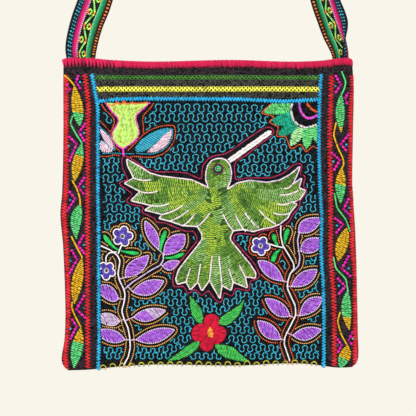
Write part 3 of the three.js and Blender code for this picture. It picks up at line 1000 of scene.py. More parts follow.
# the bird: outline, echo, feather lines and the bands that its fill is laid across
bird = dict(
    outline=[
        (208.5, 188), (205.8, 180), (205.8, 173), (208, 165), (212, 160.5), (216.6, 158.8), (222, 158.6),
        (226.5, 160.5), (230, 165), (231.5, 173), (230.5, 181), (227, 189.5), (237.3, 183),
        (249.8, 180.4), (266.3, 182.5), (279.6, 180), (289.6, 174.6), (299.5, 166.3), (298.7, 170.4),
        (292.9, 183.7), (301.6, 178), (298.7, 187.8), (305.5, 190.7), (299.5, 199.5), (292, 202.5),
        (297, 204), (292.9, 209), (289.6, 213), (287.9, 217.4), (279.6, 224), (271.3, 227.3),
        (261.4, 229), (253, 231.5), (244, 229.4), (233.2, 230.6), (230.3, 236.4), (230.3, 239.8),
        (241.5, 253.8), (249.8, 263.8), (255.6, 273), (255, 277.9), (245, 276.7), (247.3, 287.8),
        (233, 282), (231, 290.3), (222, 285.4), (219.9, 298.6), (209.5, 280.4), (202, 290.7),
        (197.8, 281.8), (190.6, 289.8), (186.2, 281.8), (177.7, 284), (175.9, 279), (178.6, 270),
        (185.7, 260.4), (197.3, 246), (202.2, 239), (201.8, 233.6), (197.3, 226.4), (183, 225.5),
        (169.6, 221), (159.4, 218.4), (162.3, 214.4), (145, 210), (152, 205.7), (131, 200.7),
        (140.4, 191.6), (124.7, 183.3), (134, 178), (128, 166), (127, 159), (141, 167), (150, 173),
        (160, 176), (176, 178), (192, 180), (205, 186),
    ],
    echo=[
        (201.7, 178), (202.5, 166.3), (209, 158), (216.6, 155.5), (224.9, 154.3), (231.5, 150.5),
        (249.8, 137.3), (263.8, 128), (270.5, 127.3), (274.2, 131.5), (271.3, 136.4), (261.4, 143),
        (244.8, 156.3), (235.7, 161.3), (234, 168), (235.7, 180.4), (246.4, 178), (270.5, 178),
        (282.9, 173.7), (293.7, 164.6), (300.3, 163), (302, 165.5), (299.5, 175.4), (305.3, 175.4),
        (302.8, 187), (307, 189.5), (305.3, 194.5), (298.7, 202), (300.3, 203.6), (297, 210),
        (293.7, 213.2), (287.9, 223), (279.6, 227.3), (270.5, 229.8), (262.2, 230.6), (253.9, 235.2),
        (243, 233), (234.8, 234), (232.8, 239), (241.5, 248.9), (253.9, 263), (259.7, 274.6),
        (258, 278.7), (250.2, 280.4), (248.9, 291), (235.2, 287.8), (232.3, 296.6), (223.6, 292),
        (222, 301), (219, 303), (213.3, 297), (208.7, 289.9), (202, 296), (195.5, 288.9), (188, 293.8),
        (183.9, 285.8), (174, 287), (172.8, 280.9), (174, 270), (180.4, 261.3), (189.3, 250.5),
        (196.9, 241.6), (196.9, 237), (193.8, 230.9), (185.7, 231.3), (175.9, 227.3), (166, 222.9),
        (155.4, 222), (155.8, 218.4), (149.6, 216), (141.3, 212), (144.6, 207), (128.8, 203.6),
        (126.3, 201), (133, 193.7), (120.5, 185.4), (119.3, 182), (128.8, 180), (123, 168.8),
        (121.8, 158.8), (124.7, 155.5), (134.6, 160.5), (146.6, 169.6), (157.4, 172), (171.5, 172),
        (186.4, 173), (201.3, 179.6),
    ],
    feathers=[
        ((134, 178), (150, 180)), ((140.4, 191.6), (156.6, 191.6)), ((152, 205.7), (168, 204)),
        ((162.3, 214.4), (182, 206)), ((169.6, 221), (188, 210.8)), ((183, 225.5), (194.6, 214.4)),
        ((197.3, 226.4), (209.4, 213.5)), ((186.2, 281.8), (190, 269.3)),
        ((197.8, 281.8), (200.4, 264.8)), ((209.5, 280.4), (212, 257)), ((222, 285.4), (219, 257)),
        ((233, 282), (229, 269.6)), ((245, 276.7), (239.4, 265.5)), ((223.2, 215), (233, 230.6)),
        ((236, 216.5), (244.8, 230.6)), ((245.2, 213.6), (258, 227.3)), ((259.3, 210.7), (274.6, 223.6)),
        ((274.4, 213.4), (289.6, 213.2)), ((278, 204.4), (291, 202)), ((280.4, 195), (297, 191)),
        ((285, 188.7), (292.9, 183.7)),
    ],
    tones=dict(  # dark, middle, olive and lime of one yarn, then grey, sage and pale of another
        d=("birdGreen", 0.36), m=("birdGreen", 0.54), o=("birdGreen", 0.78), l=("birdGreen", 0.96),
        g=("birdSage", 0.3), s=("birdSage", 0.68), p=("birdSage", 0.95),
    ),
    bands=[  # each band's line, and its tones in even lengths from start to end
        ([(127.6, 161.9), (133.5, 171.5), (144.3, 176.9), (153, 178.5)], "ssg"),
        ([(126.4, 183.4), (135.9, 185.8), (151.4, 185.8), (167, 185.2), (184.9, 187), (206.4, 188.8)],
         "gddlllmmoooooo"),
        ([(132.3, 198.4), (145.5, 197.8), (158.6, 197.8), (174.1, 197.2), (189.7, 194.2), (206.4, 190)],
         "ssddddoolgog"),
        ([(146.7, 209.7), (158.6, 208.5), (170.6, 205.5), (182.5, 201.4), (194.4, 196.6), (206.4, 191.2)],
         "ssslloog"),
        ([(161, 218.1), (172.9, 215.1), (184.9, 209.7), (194.4, 203.8), (206.4, 195.4)], "dmmsss"),
        ([(172.9, 222.3), (184.9, 218.1), (195.6, 210.9), (205.2, 201.4)], "ddmlll"),
        ([(187.3, 225.3), (195.6, 219.3), (204, 212.1), (208.8, 203.8)], "mmgll"),
        ([(195.6, 225.9), (201.6, 221.7), (208.8, 216.9)], "smo"),
        ([(209.5, 164), (207.5, 174), (211, 186)], "mddm"),
        ([(221, 161), (228.5, 170), (227.5, 186)], "mmsss"),
        ([(218, 176), (219, 188)], "ms"),
        ([(209.7, 187), (218.3, 195.6), (213, 207), (204, 217)], "oolo"),
        ([(216, 211), (216, 225), (219, 238)], "sslo"),
        ([(206, 222), (208, 232), (207, 240), (200, 250), (188, 266), (179, 281)], "oosssmgd"),
        ([(212, 218), (212, 228), (211, 240), (206, 252), (198, 270), (191, 286)], "oolosgmm"),
        ([(216, 240), (213, 252), (206, 268), (202, 287)], "loomm"),
        ([(219, 243), (217, 258), (214, 274), (218, 295)], "mspsg"),
        ([(223, 226), (222, 238), (224, 254), (228, 272), (231, 287)], "oldsss"),
        ([(226, 234), (229, 246), (236, 258), (246, 284)], "ddddss"),
        ([(229, 238), (240, 254), (253, 275)], "mdddm"),
        ([(229.7, 188.6), (243, 186.3), (256.3, 186.3), (274.1, 186.3), (287.4, 181.3), (297.4, 170.2)],
         "olsdddddd"),
        ([(230.8, 190.2), (246.3, 191.3), (259.7, 191.3), (271.9, 193.6), (291.9, 188), (300.8, 180.2)],
         "omdsssmm"),
        ([(231.9, 190.8), (243, 192.4), (257.4, 195.8), (269.7, 198), (281.9, 198.6), (293, 196.3),
          (304.7, 190.8)], "odmssspp"),
        ([(234.1, 191.3), (248.6, 196.9), (261.9, 202.4), (274.1, 205.8), (287.4, 208), (296.3, 205.2)],
         "ddmmlls"),
        ([(235.2, 191.3), (247.4, 199.1), (260.8, 208), (271.9, 213.6), (283, 216.9), (290.8, 215.8)],
         "ddmllmg"),
        ([(231.9, 191.3), (240.8, 198), (248.6, 206.9), (257.4, 216.9), (267.4, 223.6), (275.2, 224.7)],
         "odddddlo"),
        ([(228.6, 191.3), (235.2, 200.2), (239.7, 209.1), (247.4, 220.2), (255.2, 229.1)], "oloosss"),
        ([(224.7, 194.7), (228.6, 205.8), (234.1, 218), (240.8, 229.1)], "gssss"),
    ],
    beak=[(229.5, 160.9), (270.5, 131.8)], beakShift=1.3, sag=1.3, sagAbove=240, lilacFrom=229,
    lilacAbove=186, eye=(217.9, 168.8), eyeFlat=0.96, glint=(0.6, -0.7),
    eyeRings=[  # yarn, size, width and lift
        ("dark", 3.9, 2.0, 0.6), ("plum", 5.1, 1.4, 0.7), ("podGreen", 2.4, 1.7, 0.9),
    ],
    fill=dict(
        pitch=1.85, slant=14, longest=5.0, wide=1.35, high=1.25, reach=13, edge=0.3, overlap=0.25, wild=4,
    ),
    rope=dict(pitch=1.6, wide=1.4, high=1.5, lift=0.5, shade=0.55, lean=0.25),
)
fillWork = hoop()
birdShape = np.array(bird["outline"])
# padding in a dark tone of the yarn: painted shade in the gaps between the fill's stitches
hatch(fillWork, "birdGreen", birdShape, angle=8, pitch=1.3, high=0.5, shade=0.12, spread=0.05)
bandLines = [trace(line, soft=2, step=1.0) for line, _ in bird["bands"]]
bandCloud = np.concatenate(bandLines)
bandOwner = np.repeat(np.arange(len(bandLines)), [len(line) for line in bandLines])
for band, (_, tones) in enumerate(bird["bands"]):

    def own(at):  # places nearer to this band's line than to any other
        far = np.hypot(*(at.reshape(-1, 1, 2) - bandCloud).transpose(2, 0, 1))
        return (bandOwner[np.argmin(far, axis=1)] == band).reshape(at.shape[:-1])

    def lay(share, at):
        return bird["tones"][tones[min(int(share * len(tones)), len(tones) - 1)]]

    fill(fillWork, birdShape, bandLines[band], lay, own=own, **bird["fill"])
beak = spaced(bird["beak"], step=0.5)
for shift in (-bird["beakShift"], bird["beakShift"]):
    row = (beak + heading(beak)[1] * shift)[:-3]
    crossing(fillWork, "white", row, 2.9, pitch=1.25, wide=1.4, high=1.4, slant=0.3, lift=0.2, shade=0.95)
beakTip = beak[-1] + (beak[-1] - beak[-3])
stitch(fillWork, "white", beak[-8], beakTip, wide=3.2, high=1.5, lift=0.3, shade=0.95)
birdFill = embroider("bird_fill", fillWork)

lineWork = hoop()


def lilacEdge(at):  # the upper edge of the right wing
    return (at[..., 0] > bird["lilacFrom"]) & (at[..., 1] < bird["lilacAbove"])


outline = trace(bird["outline"], soft=0.8, closed=True)
rope(lineWork, "pinkWhite", outline, keep=lambda at: ~lilacEdge(at), **bird["rope"])
rope(lineWork, "lilacWhite", outline, keep=lilacEdge, **bird["rope"])
for feather in bird["feathers"]:
    root, tip = np.array(feather)
    sag = (0, bird["sag"] if root[1] < bird["sagAbove"] else 0)
    rope(lineWork, "pinkWhite", bow(root, (root + tip) / 2 + sag, tip), **bird["rope"])
echoLine = trace(bird["echo"], soft=1.2, closed=True)
running(lineWork, "crimson", echoLine, pitch=2.0, wide=1.3, high=1.1, gap=0.07)
eye = np.array(bird["eye"])
for thread, across, reach, lift in bird["eyeRings"]:
    loop = ring(eye, across, across * bird["eyeFlat"])
    crossing(lineWork, thread, loop, reach, pitch=1.1, wide=1.2, high=1.2, lift=lift)
glint = np.array(bird["glint"])
stitch(lineWork, "pinkWhite", eye - glint, eye + glint, wide=1.3, high=1.4, lift=1.0)
birdLines = embroider("bird_lines", lineWork)
blockers.append(echoLine)
edgeLines.append(echoLine)

# leaf sprays: white and lilac stems, green buds, blossoms and purple leaves
sprays = dict(
    left=dict(
        stem=[
            [(100.5, 245.5), (109.8, 249.6), (117.6, 255.1), (120.3, 260.7), (119.2, 267.3), (118.1, 274),
             (119.8, 280.7), (124.2, 289.6), (125.3, 294.8), (124.1, 302.8), (121.8, 310.8),
             (124.1, 318.8), (128.1, 327.9), (129.8, 337), (130.4, 347.2), (128.1, 357.5),
             (124.1, 363.7)],
            [(118.7, 252.9), (121.4, 246.2)],
            [(115.9, 251.8), (108.7, 252.9), (105.9, 257.3), (106.4, 262)],
        ],
        lilacStem=[
            [(124.2, 289.6), (133.1, 281.8), (142, 276.2), (152, 269.6), (160.9, 265.1), (163.7, 259.6),
             (163.4, 254)],
        ],
        flowers=[((122.9, 236.2), 10.2, -76), ((106.6, 270.7), 9.2, 20)],
        buds=[  # base, bend, round tip and width
            ((119.2, 250.1), (112, 245.1), (104, 234.6), 5.0),
            ((121.4, 250.7), (128.7, 252.3), (139.2, 253.4), 4.6),
            ((160.9, 252.3), (161.8, 243), (165.9, 230.7), 5.6),
            ((164.8, 257.3), (173, 257.4), (184.5, 253.2), 4.6),
        ],
        leaves=[  # base, tip, the widest on either side, and near and far yarns unless both are purple
            ((158.7, 249.3), (145.3, 220.5), (147.6, 236), (157.4, 233.5)),
            ((164, 254.6), (184.8, 234.3), (169.5, 238), (181.5, 249)),
            ((162.8, 266), (179.8, 261.2), (170, 260.8), (171, 269.8)),
            ((125.9, 277.3), (149.2, 255.1), (130, 263), (142, 271)),
            ((133.1, 291.8), (164.2, 280.7), (146.4, 281), (151, 294.3)),
            ((118.6, 298.4), (94, 288), (109, 285.5), (109.5, 300.5)),
            ((133.8, 317), (166.3, 310.2), (148.4, 308.8), (149, 320.8), "purple", "lilac"),
            ((119.8, 321), (94, 317), (109, 313.4), (110, 325.6), "lilac", "lilac"),
            ((124.7, 339.8), (94, 331), (113, 330), (110, 342)),
            ((136.2, 339.6), (174.8, 329.6), (155.6, 328.9), (156.4, 342.4)),
        ],
        split=[(0, 0), (0, 400)],
    ),
    right=dict(
        stem=[
            [(280.5, 226.4), (280.3, 235), (282.4, 245.2), (288.8, 255.5), (293.3, 263.1), (294, 268.3),
             (290.1, 273.4), (287.6, 281), (287, 288), (290.2, 295.3), (295, 305.3), (295.7, 314.9),
             (290.2, 325.9), (284.7, 337), (284, 343.9), (286.8, 352.1), (289.5, 359.7)],
            [(269.7, 244), (275.5, 246), (283, 247.6)],
        ],
        lilacStem=[
            [(299.1, 232.5), (297.2, 240.1), (298.4, 250.4), (299.7, 258), (298.4, 265.7), (292, 272)],
        ],
        flowers=[((260.3, 245.8), 9.4, 9)],
        buds=[
            ((278.8, 246), (275.2, 241.6), (273.3, 233.8), 5.2),
            ((284.6, 243.7), (285.6, 236), (288, 228.8), 5.8),
            ((280, 249.7), (275, 254.5), (273, 262), 5.8),
        ],
        leaves=[
            ((298.6, 232.4), (321, 218), (303, 220.4), (312.5, 230.6)),
            ((300.6, 251.2), (324.5, 239), (306.5, 239.3), (314.5, 251.6)),
            ((291.4, 286.4), (317, 269.3), (300.6, 273.2), (308.6, 283.4)),
            ((299.4, 315.8), (322, 297.5), (307, 300), (315.5, 310)),
            ((293, 335.4), (321.6, 329.4), (306, 327.6), (307, 340)),
            ((283.1, 281), (257.5, 260.6), (273, 264.6), (266.6, 275.4)),
            ((290, 316), (264.7, 298.4), (280.8, 302.6), (275, 314)),
            ((280.6, 339.2), (257.2, 320.4), (272.6, 325.6), (264.4, 335.8)),
        ],
        split=[  # the echo is darker to the left of this line
            (280, 226), (284, 246), (293, 262), (288, 280), (295, 306), (295, 316), (284, 340),
            (289, 360),
        ],
    ),
)
bud = dict(
    step=0.7, slim=0.25, grow=1.15, roundFrom=0.7, roundOver=0.3, half=0.42,
    # the buds' padding a little darker than their fill: painted shade between its stitches
    padding=dict(angle=60, pitch=1.1, shade=0.4), fill=dict(pitch=1.1, slant=35, wide=1.2),
)
lobes = dict(
    count=5, out=0.61, radius=0.39, points=73, turn=0.1, rounds=((16, 0.2, 0.62), (30, 0.56, 0.95)),
)
sprig = dict(
    stem=dict(pitch=1.6, wide=1.45, high=1.5, lift=0.2, lean=0.22, shade=0.6),
    # the leaves' padding in the darkest tone of its yarn: painted shade in the gaps between the leaf
    # stitches
    padding=dict(angle=40, pitch=1.3, high=0.5, shade=0.0), tone=0.64, change=0.52,
    leaf=dict(pitch=1.75, slant=40, longest=5.5, wide=1.3, high=1.2, wild=5),
    edge=dict(pitch=1.9, wide=1.35, high=1.2, lift=0.4, gap=0.14, shade=0.9),
    stalk=dict(pitch=1.5, wide=1.1, high=1.0, shade=0.6),
    echo=dict(least=1.7, reach=3.4, pitch=1.9, wide=1.3, high=1.1, gap=0.13, shade=0.68),
    inset=0.5, apart=1.4,
)


def club(base, bend, tip, wide):  # slim at its base, full and round at its tip
    line = spaced(bow(base, bend, tip), bud["step"])
    t = np.linspace(0, 1, len(line))
    full = np.minimum(bud["slim"] + bud["grow"] * t, 1) * rounded(t - bud["roundFrom"], bud["roundOver"])
    return ribbon(line, (full * wide * bud["half"])[:, None]), line


def blossom(work, middle, size, turn):  # five joined lobes, filled from the middle outward
    middle = np.array(middle)
    angle = np.linspace(0, 2 * math.pi, lobes["points"])
    half = math.pi / lobes["count"]
    off = (angle - math.radians(turn) + half) % (2 * half) - half
    chord = np.sqrt(lobes["radius"] ** 2 - (lobes["out"] * np.sin(off)) ** 2)
    far = size * (lobes["out"] * np.cos(off) + chord)
    shape = (middle + np.stack([np.cos(angle), np.sin(angle)], 1) * far[:, None])[:-1]
    for count, start, end in lobes["rounds"]:
        at = np.linspace(0, 2 * math.pi, count, endpoint=False) + lobes["turn"]
        out = np.stack([np.cos(at), np.sin(at)], 1) * np.interp(at, angle, far, period=2 * math.pi)[:, None]
        stitch(work, "violet", middle + out * start, middle + out * end, wide=1.5, high=1.0, keep=inFrame)
    rope(work, "white", shape, pitch=1.5, wide=1.4, high=1.4, lift=0.3, lean=0.25, shade=0.6, keep=inFrame)
    eyelet = ring(middle, 1.9, 2.1)
    crossing(work, "white", eyelet, reach=1.2, pitch=0.9, wide=1.0, high=1.2, lift=0.6, keep=inFrame)
    stitch(work, "olive", middle - (0, 0.7), middle + (0, 0.7), wide=1.3, high=1.2, lift=0.5, shade=0.1)
    return shape


def spray(name, plan):
    work = hoop()
    shapes = []
    stems = []
    for thread, lines in (("white", plan["stem"]), ("lilac", plan["lilacStem"])):
        for line in lines:
            path = trace(line)
            rope(work, thread, path, keep=inFrame, **sprig["stem"])
            shapes.append(ribbon(path, 1.0))
            stems.extend(path)
    for row in plan["buds"]:
        shape, line = club(*row)
        padded(work, "clubGreen", shape, line, plain("clubGreen"), bud["padding"], inFrame, **bud["fill"])
        shapes.append(shape)
    for base, tip, one, two, *yarns in plan["leaves"]:
        near, far = yarns or ("purple", "purple")
        shape = leaf(base, tip, one, two)
        spine = bow(base, np.add(one, two) / 2, tip)

        def lay(share, at):
            return (near if share < sprig["change"] else far), sprig["tone"]

        padded(work, near, shape, spine, lay, sprig["padding"], inFrame, **sprig["leaf"])
        running(work, "lilacWhite", closedUp(shape), keep=inFrame, **sprig["edge"])
        root = stems[np.argmin(np.hypot(*np.subtract(stems, base).T))]
        rope(work, "lilac", spaced([root, base], step=0.8), keep=inFrame, **sprig["stalk"])
        shapes.append(shape)
    for row in plan["flowers"]:
        shapes.append(blossom(work, *row))

    def clear(at):
        away = ~inside(echoLine, at) & (farFrom(at, echoLine) > sprig["apart"])
        return inFrame(at, sprig["inset"]) & away

    def threadAt(at):
        u, v = np.array(plan["split"]).T
        return "orange" if at[0] < np.interp(at[1], v, u) else "lightOrange"

    edgeLines.extend(echo(work, threadAt, shapes, keep=clear, **sprig["echo"]))
    blockers.extend(shapes)
    return embroider(name, work)


leftSpray = spray("left_spray", sprays["left"])
rightSpray = spray("right_spray", sprays["right"])

# bell flower, corner flower, red flower and the curls along the hem
bell = dict(
    outline=[
        (105.8, 103), (108.2, 106.3), (112.9, 112.9), (118, 117.6), (118.7, 121.4), (116.7, 126),
        (112.9, 131.8), (112.4, 136.5), (114.3, 142.2), (118.6, 146.4), (123.3, 148.8), (126, 147.4),
        (131.8, 144), (137.4, 138.4), (139.8, 132.7), (137.9, 125.2), (136, 119.5), (136.5, 115.7),
        (141.2, 111), (146.9, 106.3), (149.2, 103.2),
    ],
    lip=[
        (108.6, 104.6), (112.9, 106), (115.4, 104.6), (117.6, 102), (119.6, 104.4), (122.3, 104),
        (124.2, 101), (126.4, 104), (129.9, 104.4), (132.4, 102), (135, 104.2), (141.2, 103.4),
        (147.4, 102.6),
    ],
    stem=[(123.4, 149), (123.8, 155)],
    ribs=[
        [(112.9, 108.2), (120.4, 114.3), (122.8, 120.4), (121.4, 128.9), (119, 135.5), (119, 141.2),
         (123.3, 143.1)],
        [(143, 107), (135.5, 112.9), (130.8, 116.7), (130.4, 120.4), (132.2, 128.9), (133.2, 136.5),
         (131.3, 141.2), (123.3, 143.1)],
        [(113.5, 108.8), (122, 110.4), (131, 109.8), (139, 107)],
    ],
    echoes=[
        [(101.6, 103.9), (105.3, 110), (111, 114.8), (114.3, 118.6), (114.8, 123.3), (112.9, 128),
         (111, 131.8)],
        [(100.1, 120.9), (104.4, 125.2), (109.6, 130.8), (111, 133.7), (112.2, 140), (114.3, 145.9),
         (120.4, 151.6)],
        [(154, 103), (149.7, 109.1), (144, 114.8), (142.6, 119.5), (143.6, 126.1), (143.6, 133.7)],
        [(143.6, 134.6), (135.5, 143.1), (128, 150.7)],
        [(143.6, 134.6), (150.7, 129.9), (158.2, 127), (165.8, 125.6), (174.3, 125.6), (175.7, 131.8),
         (174.3, 141.2), (169.5, 148.8), (162.9, 154.4), (154.4, 157.3), (145, 157.5), (134.6, 156.3),
         (129.9, 157.3)],
        [(99.7, 156.3), (108.2, 156.8), (114.8, 154.6), (120, 156)],
    ],
    leaves=[  # yarn, spacing of its stitches, the line that they cross and its outline
        ("leafBlue", 2.2, [(137, 150.5), (171, 129)],
         [(135.5, 147.8), (141.2, 140.3), (150.7, 133.7), (162, 128.9), (171.4, 128.5), (170.5, 130.4),
          (163.9, 134.6), (158.2, 141.2), (150.7, 147.8), (143.1, 151.6), (136.5, 152.5)]),
        ("leafPink", 1.65, [(147, 152), (158, 147.5), (166, 140), (171.5, 130)],
         [(171.9, 129.4), (171.4, 136.5), (168.6, 143.1), (162.9, 148.8), (155.4, 152.1), (146.9, 152.5),
          (150.7, 148.8), (158.2, 142.2), (163.9, 135.5)]),
        ("leafPink", 1.65, [(100, 129), (106, 137), (114, 150)],
         [(99.7, 128), (104.4, 131.8), (109.1, 136.5), (112.9, 143.1), (114.3, 150.7), (110, 146.9),
          (104.4, 140.3), (100.6, 131.8)]),
        ("leafPink", 1.65, [(101, 143), (106, 149), (113.5, 151)],
         [(101.1, 141.2), (104.4, 142.2), (109.1, 146.9), (113.8, 151.1), (108.2, 152.5), (103.4, 152.1),
          (100.1, 148.8), (100.1, 143.1)]),
    ],
    seams=[
        [(99.7, 126.6), (108.2, 133.7), (113.8, 141.2), (115.3, 150.7)],
        [(101.6, 140.3), (108.2, 145), (113.8, 150.7)],
        [(102.5, 153.4), (114.8, 153.2), (122.3, 153.8), (134.6, 153.8)],
        [(172.6, 128.9), (172.6, 137.4), (168.8, 145), (162.2, 150.9), (152.5, 154.2), (136.5, 153.6)],
    ],
    leafWide=0.7,
    fill=dict(pitch=1.4, longest=6, wide=1.45, high=0.9, shade=0.55, lift=0.3),
    edge=dict(reach=2.0, pitch=1.5, wide=1.35, high=1.3, lift=0.4, slant=0.3),
    lipEdge=dict(reach=2.0, pitch=1.4, wide=1.3, high=1.3, lift=0.5, slant=0.5, shade=0.6),
)
cornerFlower = dict(
    arcs=[  # yarn, line and width
        ("white",
         [(291.8, 104.3), (290.5, 108.6), (291, 113.8), (292.7, 119), (296.6, 124.1), (301.7, 126.7),
          (306.9, 127.6), (312.9, 125.9), (317.2, 124.6)], 2.4),
        ("arcViolet", [(299.2, 103.5), (299.4, 107.6)], 2.2),
        ("arcPink",
         [(299.5, 107.6), (301.3, 112.9), (304.3, 116.8), (308.2, 118.5), (312.9, 117.7), (316.8, 115.5)],
         2.8),
        ("orange", [(306.9, 103.9), (309.1, 106.9), (312.1, 109.9), (316.4, 111.7)], 2.8),
    ],
    petals=[  # yarn, tone, the line its stitches cross and its outline
        ("petalGreen", 0.53, [(265, 111.5), (290, 107.5)],
         [(262.6, 112.2), (266.7, 108), (271.8, 103.9), (290.7, 103.6), (289.8, 110.8), (285.8, 113.2),
          (280, 114.2), (273.3, 114.5), (266.7, 113.7)]),
        ("teal", 0.58, [(271.5, 121), (292, 117)],
         [(270.8, 120.8), (275, 117.5), (281.7, 114.3), (290, 111.3), (291.3, 116.7), (293.8, 121.7),
          (288.3, 125.5), (281.7, 125.8), (275, 125.2), (272.5, 122.6)]),
        ("teal", 0.48, [(278.5, 134), (295.5, 125.5)],
         [(276.6, 135.2), (280, 130.8), (283.3, 127), (288.3, 125.6), (294.2, 122), (297.3, 127.3),
          (295, 130), (290, 134.2), (283.3, 135.8)]),
        ("paleGreen", 0.58, [(291, 145), (300, 128.5)],
         [(290, 146.3), (290, 140), (291.7, 134.2), (295, 129.2), (298.3, 127.5), (303, 128.2),
          (302.3, 134.2), (300, 140), (295, 144.2)]),
        ("petalGreen", 0.63, [(307.2, 128), (306.4, 149)],
         [(302.8, 128.2), (312, 127.6), (311.8, 133.3), (312, 139), (310, 145), (305.9, 149.4),
          (303.3, 144), (302.2, 138.3)]),
        ("petalGreen", 0.58, [(314.8, 127), (317, 144)],
         [(312.1, 127.6), (317.5, 125.8), (318.4, 144.4), (313.6, 139.5), (311.8, 133.3)]),
    ],
    echo=[
        (272, 103.5), (266.4, 107.8), (260.8, 113.4), (268.1, 115.1), (274.2, 116.8), (268.6, 122.4),
        (278.5, 127.2), (275.5, 136.6), (285.4, 136.2), (287.1, 140.5), (289.7, 148.3), (293.1, 148.7),
        (299.2, 144), (301.3, 144.8), (305.6, 152.6), (312.9, 145.7), (317.5, 149),
    ],
    middle=(307, 108), radius=19, fill=dict(pitch=1.7, slant=12, longest=5, wide=1.3, wild=5, edge=0.4),
    arc=dict(pitch=1.5, wide=1.4, high=1.3, lift=0.3, slant=0.3),
)
redFlower = dict(
    petals=[  # the way its rows run, and its outline
        (0,
         [(203.4, 323.4), (203.8, 319), (205.8, 315.6), (210, 313.9), (215, 314.3), (218.6, 317),
          (219.7, 321.4), (218.9, 326), (212.5, 332), (208, 332)]),
        (90,
         [(203.4, 323.4), (199.3, 323.5), (195, 325.6), (192.1, 330), (191.4, 334.4), (193.2, 339),
          (197, 341.4), (201, 341.2), (208, 336), (209, 331)]),
        (90,
         [(218.9, 326), (222.9, 326.4), (225.8, 329.3), (226.4, 333), (225, 338), (221.4, 342.2),
          (217.8, 344), (214, 343.6), (211, 336), (212, 331)]),
        (0,
         [(201, 341), (199.7, 344.4), (200.7, 348), (203.6, 350.4), (207.9, 351), (211.7, 349.4),
          (214.2, 345.8), (214.3, 343.4), (211.5, 335.5), (208, 336)]),
    ],
    leaves=[  # the line its stitches cross, and its outline
        ([(190.6, 297), (202, 322)],
         [(190.1, 296), (195.5, 302.1), (200.9, 308.8), (202.9, 316.9), (202.2, 323.6), (196.8, 320.9),
          (192.1, 314.2), (190.5, 304.8)]),
        ([(243, 300.5), (220.8, 323.5)],
         [(244.4, 298.6), (241.5, 302.6), (239.3, 305), (233.6, 309.2), (227.1, 312.8), (221.4, 317.1),
          (219.3, 321.4), (220.7, 325.4), (227.1, 324.3), (232.9, 320.7), (238.6, 314.3),
          (242.1, 306.4)]),
        ([(169, 360), (199, 342)],
         [(167.9, 360.6), (178.7, 353.2), (186.7, 346.5), (194.8, 341.7), (199.9, 340.8), (197.5, 347.8),
          (189.4, 354.5), (178.7, 359.2)]),
        ([(216, 346), (248, 360.6)],
         [(215, 344.4), (224.4, 345.1), (233.8, 347.8), (240.5, 354.5), (249.2, 361.2), (236.5, 359.9),
          (225.7, 357.2), (217.7, 351.8)]),
    ],
    centre=[
        (210.3, 325.8), (212.4, 328.6), (213.8, 332.5), (213.6, 335.6), (211, 336.9), (208, 336),
        (207, 332.6), (208.2, 328.8),
    ],
    petalHalf=12, centreHalf=6, loopOff=(0, 0.8),
    leafFill=dict(pitch=1.9, slant=35, longest=5, wide=1.35, edge=0.5),
    petalFill=dict(pitch=1.25, slant=4, longest=9, wide=1.3, high=1.2),
)
hemCurls = dict(
    start=103, end=322, pitch=9.6, level=364.6, across=2.8, down=2.7, opens=150, closes=385, count=16,
    jitter=0.4, turning=20,
)
flowerWork = hoop()


def petal(thread, shape, spine, tone, padding, **laid):
    padded(flowerWork, thread, shape, spine, plain(thread, tone), padding, **laid)
    blockers.append(shape)


def edged(thread, line, soft=1, **laid):  # a line that the ground stitching keeps away from
    path = trace(line, soft)
    running(flowerWork, thread, path, keep=inFrame, **laid)
    edgeLines.append(path)


bellShape = np.array(bell["outline"])
hatch(flowerWork, "lime", bellShape, angle=0, keep=inFrame)
hatch(flowerWork, "lime", bellShape, angle=82, keep=inFrame, **bell["fill"])
crossing(flowerWork, "bellPink", trace(bell["outline"], soft=0.6), keep=inFrame, **bell["edge"])
rope(flowerWork, "bellPink", bell["stem"], pitch=1.3, wide=2.0, high=1.2)
crossing(flowerWork, "orange", trace(bell["lip"], soft=0.5), **bell["lipEdge"])
for line in bell["ribs"]:
    running(flowerWork, "bellRib", trace(line, soft=1), pitch=1.9, wide=0.75, high=1.0, lift=0.8, gap=0.05)
for line in bell["echoes"]:
    edged("orange", line, pitch=2.0, wide=1.3, high=1.1, gap=0.1)
# padding laid dark: painted shade in the gaps between the stitches over it
leafPadding = dict(angle=30, shade=0.1)
for thread, pitch, spine, shape in bell["leaves"]:
    laid = dict(pitch=pitch, wide=bell["leafWide"] * pitch, slant=25, longest=3, keep=inFrame)
    petal(thread, np.array(shape), spine, 0.7, leafPadding, **laid)
for line in bell["seams"]:
    edged("leafBlue", line, pitch=1.8, wide=1.1, high=1.0, gap=0.03)
blockers.append(bellShape)

for thread, tone, spine, shape in cornerFlower["petals"]:
    petal(thread, np.array(shape), spine, tone, leafPadding, keep=inFrame, **cornerFlower["fill"])
for thread, line, reach in cornerFlower["arcs"]:
    crossing(flowerWork, thread, trace(line, soft=1), reach, keep=inFrame, **cornerFlower["arc"])
edged("orange", cornerFlower["echo"], soft=0.8, pitch=1.9, wide=1.2, high=0.9, gap=0.04, shade=0.55)
blockers.append(ring(cornerFlower["middle"], cornerFlower["radius"]))

for spine, outer in redFlower["leaves"]:
    shape = np.array(outer)
    # padding darker than the fill: painted shade between the stitches over it
    petal("grassGreen", shape, spine, 0.58, dict(angle=20, shade=0.05, high=0.5), **redFlower["leafFill"])
    edgeLines.append(shape)
for turn, outer in redFlower["petals"]:
    shape = trace(outer, soft=0.8, closed=True)[:-1]
    half = direction(turn) * redFlower["petalHalf"]
    spine = shape.mean(0) - half, shape.mean(0) + half
    # padding darker than the fill: painted shade between the stitches over it
    petal("flowerRed", shape, spine, 0.48, dict(angle=turn, shade=0.3), **redFlower["petalFill"])
centre = np.array(redFlower["centre"])
middle, half = centre.mean(0), (0, redFlower["centreHalf"])
spine = np.array([middle - half, middle + half])
fill(flowerWork, centre, spine, plain("centre", 0.75), pitch=1.4, slant=20, wide=1.35, high=1.9)
loop = ring(middle + redFlower["loopOff"], 1.7, 2.4, start=20, end=330)
running(flowerWork, "orange", loop, pitch=1.6, wide=1.0, high=1.4, lift=1.2)

